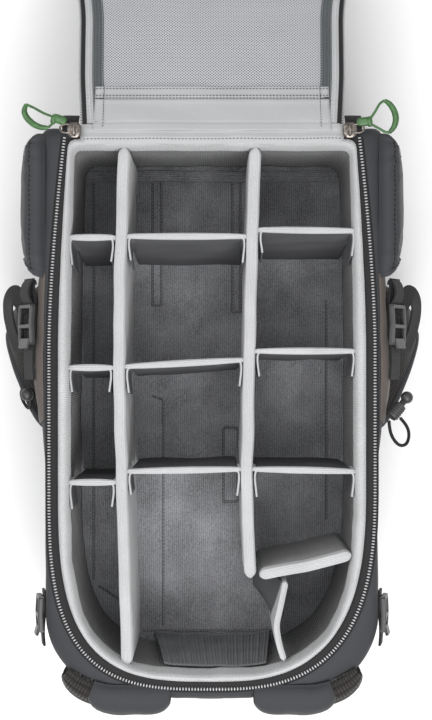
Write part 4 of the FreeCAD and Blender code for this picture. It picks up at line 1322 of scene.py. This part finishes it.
for side, flip in both_sides:
    straps = [skin(grid, wrap_columns=True, cap=True) for grid in (strap_grid, tab_grid, spare_grid)]
    nodes = ("side_straps",) if side == "left" else ()
    put("side_webbing_" + side, [flip(p) for p in straps], webbing, "root", nodes)
    locks = [skin(grid, wrap_columns=True, cap=True) for grid in side_lock]
    put("side_ladder_lock_" + side, [flip(p) for p in locks], plastic, "side_buckle_" + side,
        ("side_buckle_" + side,))


# ---- Side pockets ----
# A stretch-mesh pocket on each side stands open towards the pack's top, its slanted mouth held by a padded
# binding with a row of stitches.

pocket_mesh = air_mesh("pocket_stretch_mesh", (0.028, 0.026, 0.025), 0.0024, 0.0004, 0.6)
mouth_steps = 60
pocket_angle = np.linspace(0, np.pi, mouth_steps)
pocket_s = np.linspace(0, 1, 44)
ps, pa = np.meshgrid(pocket_s, pocket_angle, indexing="ij")
mouth_y = -14 + 90 * np.sin(pa) ** 1.1
pocket_y = 126 + (mouth_y - 126) * ps
out_share = np.sin(np.clip((126 - pocket_y) / 46, 0, 1) * np.pi / 2) ** 0.8
pocket_x = -157.6 - 42 * out_share * np.sin(pa) ** 0.75
pocket_z = 98 + (59 - 4 * np.sin(pa)) * np.cos(pa)
slackness = 1.3 * ripple(pocket_y, pocket_z, 34, 111) * np.sin(pa)
pocket_surface = np.stack([pocket_x - slackness * out_share, pocket_y, pocket_z], -1)
mouth = pocket_surface[-1]
mouth_up = (-0.6, -0.75, 0.2)
for side, flip in both_sides:
    sheet_patch = skin(pocket_surface)
    piece = put("side_pocket_cloth_" + side, [flip(sheet_patch)], pocket_mesh, "root",
                ("side_pocket_" + side,))
    thicken(piece, 1.8)
    binding_grid = carried(softened(mouth, 3, False), rounded_section(9.5, 6.0, 2.9, 24), up=mouth_up)
    put("side_pocket_binding_" + side, [flip(skin(binding_grid, wrap_columns=True, cap=True))], wing_nylon,
                  "root")
    mouth_stitches = stitches(mouth[6:-6] + (-1.8, -2.2, 0.9), 3.4, 2.2, 0.6, mouth_up)
    put("side_pocket_stitches_" + side, [flip(mouth_stitches)], black_elastic, "root")


# ---- Cord locks ----
# A ribbed barrel with a ball-ended button is squeezed to let the elastic run through it.

lock_way = np.array([0.62, 0.72, -0.3]) / np.linalg.norm([0.62, 0.72, -0.3])
lock_places = {"right": (np.array([162.0, -2.0, 228.0]), lock_way), "left": (np.array([-169.0, 18.0, 193.0]),
                                                                          np.array([0, 0, 1.0]))}


def turned_shape(profile, at, way, count=28):
    """A turned piece: a profile (distance along, radius) spun about a line, closed at both ends."""
    profile = np.asarray(profile, float)
    side = np.cross(way, (0.3, 0.1, 0.9) if abs(way[2]) < 0.9 else (1.0, 0, 0))
    side /= np.linalg.norm(side)
    up = np.cross(way, side)
    ring = circle(1.0, count)
    grid = at + profile[:, :1, None] * way + profile[:, 1:, None] * (
        ring[None, :, :1] * side + ring[None, :, 1:] * up)
    return skin(grid, wrap_columns=True, cap=True)


for side, (at, way) in lock_places.items():
    along = np.linspace(0.3, 14.8, 60)
    ribbed = 5.6 + 0.45 * np.cos(along * 2 * np.pi / 2.4)
    ribbed -= 1.2 * groove(along - along[0], 1.4) + 1.0 * groove(along - along[-1], 1.2)
    outside = np.column_stack([along, ribbed])
    bore = np.array([(14.9, 3.9), (14.0, 3.7), (5.0, 3.7)])
    put("lock_barrel_" + side, [turned_shape(np.vstack([outside, bore]), at, way)], plastic, "root",
        ("cord_lock_" + side,))
    a = np.linspace(0.02, np.pi - 0.5, 30)
    ball = np.column_stack([24.5 + 5.6 * np.cos(a), 5.6 * np.sin(a)])[::-1]
    stem = np.array([(15.5, 0.8), (15.6, 3.0), (19.2, 3.0)])
    put("lock_button_" + side, [turned_shape(np.vstack([stem, ball]), at, way)], plastic, "cord_button_" + side,
        ("cord_button_" + side,))


# ---- Load straps and buckles ----
# Near the top end a short webbing and a ladder-lock on each side pull the shoulder straps in.

load_at = (-157.2, -181.0, 214.0)
load_tilt = 78.0
load_path = np.column_stack([np.zeros(40), np.linspace(-29, 21, 40), -3.4 + 0.8 * np.sin(np.linspace(0, 6, 40))])
load_grid = stood(carried(load_path, rounded_section(19, 2.2, 1.0, 28)), load_at, load_tilt)
load_lock = [stood(grid, load_at, load_tilt) for grid in buckle_frame(25, 32)]
for side, flip in both_sides:
    nodes = ("load_straps",) if side == "left" else ()
    put("load_webbing_" + side, [flip(skin(load_grid, wrap_columns=True, cap=True))], webbing, "root",
        nodes)
    locks = [skin(grid, wrap_columns=True, cap=True) for grid in load_lock]
    put("load_ladder_lock_" + side, [flip(p) for p in locks], plastic, "load_buckle_" + side,
        ("load_buckle_" + side,))


# ---- Shoulder straps ----
# Each padded strap is sewn over the pack's top edge and hangs down its end, curling under at the bottom. Its face
# is ribbed spacer mesh, and a smooth nylon yoke covers the root.

strap_mesh = air_mesh("strap_spacer_mesh", (0.034, 0.03, 0.028), 0.0034, 0.0011, 0.8)
end_wall = rounded_box_plan(shell_half, shell_low, shell_end, 72, 18, 2400)
end_way = np.roll(end_wall, -1, 0) - np.roll(end_wall, 1, 0)
end_out = np.column_stack([end_way[:, 1], -end_way[:, 0]])
end_out = end_out / np.linalg.norm(end_out, axis=1)[:, None]


def along_end(x_from, x_to, count):
    """Points of the pack's outline round its top end between two places across, and the way outwards there."""
    low_side = np.flatnonzero(end_wall[:, 1] < -150)
    x = end_wall[low_side, 0]
    order = np.argsort(x)
    at = np.linspace(x_from, x_to, count)
    columns = (end_wall[:, 1], end_out[:, 0], end_out[:, 1])
    y, out_x, out_y = (np.interp(at, x[order], column[low_side][order]) for column in columns)
    return np.column_stack([at, y]), np.column_stack([out_x, out_y])


strap_fall = np.array([(0.0, 233.0), (7.0, 235.0), (15.0, 229.0), (18.5, 212.0), (18.0, 150.0), (17.0, 80.0),
                       (14.0, 40.0), (7.0, 16.0), (-4.0, 9.0), (-14.0, 9.5)])


def hanging(x_from, x_to, fall, thick, rows=96, columns=40, seed=0, round_off=0.0):
    """A strap that hangs over the pack's end: its place is outline + outward * reach, at the fall's height. The pad
    has that thickness, less towards its two long edges by (1 - |u|^6)^0.6, and wanders a little."""
    line = softened(evenly(fall, rows), 7, closed=False)
    way = np.gradient(line, axis=0)
    way /= np.linalg.norm(way, axis=1)[:, None]
    normal = np.stack([way[:, 1], -way[:, 0]], 1) * -1
    plan, out = along_end(x_from, x_to, columns)
    u = np.linspace(-1, 1, columns)
    run = np.linspace(0, 1, rows) * np.linalg.norm(np.diff(line, axis=0), axis=1).sum()
    from_end = np.minimum(run, run[-1] - run)
    body = 0.5 * thick * np.clip(1 - np.abs(u) ** 6, 0.02, 1)[None] ** 0.6
    body = body * np.clip(from_end / 8, 0.15, 1)[:, None] ** 0.5
    wave = 0.7 * ripple(u[None] * 40, run[:, None], 32, seed)
    sides = []
    for sign in (1, -1):
        shift = normal[:, None] * (sign * body + wave)[..., None]
        corner = round_off * np.abs(u) ** 5 * 0.5
        reach = line[:, None, 0] + shift[..., 0] - corner[None] * np.clip(line[:, None, 0] / 18, 0, 1)
        grid = np.empty((rows, columns, 3))
        grid[..., :2] = plan[None] + out[None] * reach[..., None]
        grid[..., 2] = line[:, None, 1] + shift[..., 1]
        sides.append(grid)
    return closed_pad(*sides)


strap_patch = hanging(-134, -46, strap_fall - (7.5, 5.5), 10.0, seed=121, round_off=16)
yoke_fall = np.array([(-7.0, 231.0), (2.0, 235.5), (13.0, 234.0), (20.0, 224.0), (21.5, 208.0), (20.0, 186.0)])
yoke_patch = hanging(-110, -38, yoke_fall - (3.0, 0.5), 4.0, 60, 40, 122, round_off=18)
for side, flip in both_sides:
    piece = put("shoulder_pad_" + side, [flip(strap_patch)], strap_mesh, "shoulder_strap_" + side,
                ("shoulder_strap_" + side,))
    put("shoulder_yoke_" + side, [flip(yoke_patch)], charcoal_nylon, "shoulder_strap_" + side)


# ---- Grab handle ----
# A loop of doubled webbing sewn to the middle of the pack's top end, to lift it by.

handle_route = [(-36, -255.5, 140), (-33, -262, 140.5), (-28, -269.5, 141), (-15, -272.5, 140), (0, -272.8, 139.5),
                (12, -272.5, 140), (25, -269.5, 141), (29, -262, 140.5), (32, -255.5, 140)]
handle_path = softened(evenly(handle_route, 90), 5, closed=False)
put("grab_loop", [skin(carried(handle_path, rounded_section(24, 3.4, 1.5, 30), up=(0, -1, 0.02)), wrap_columns=True,
                       cap=True)], webbing, "root", ("grab_handle",))
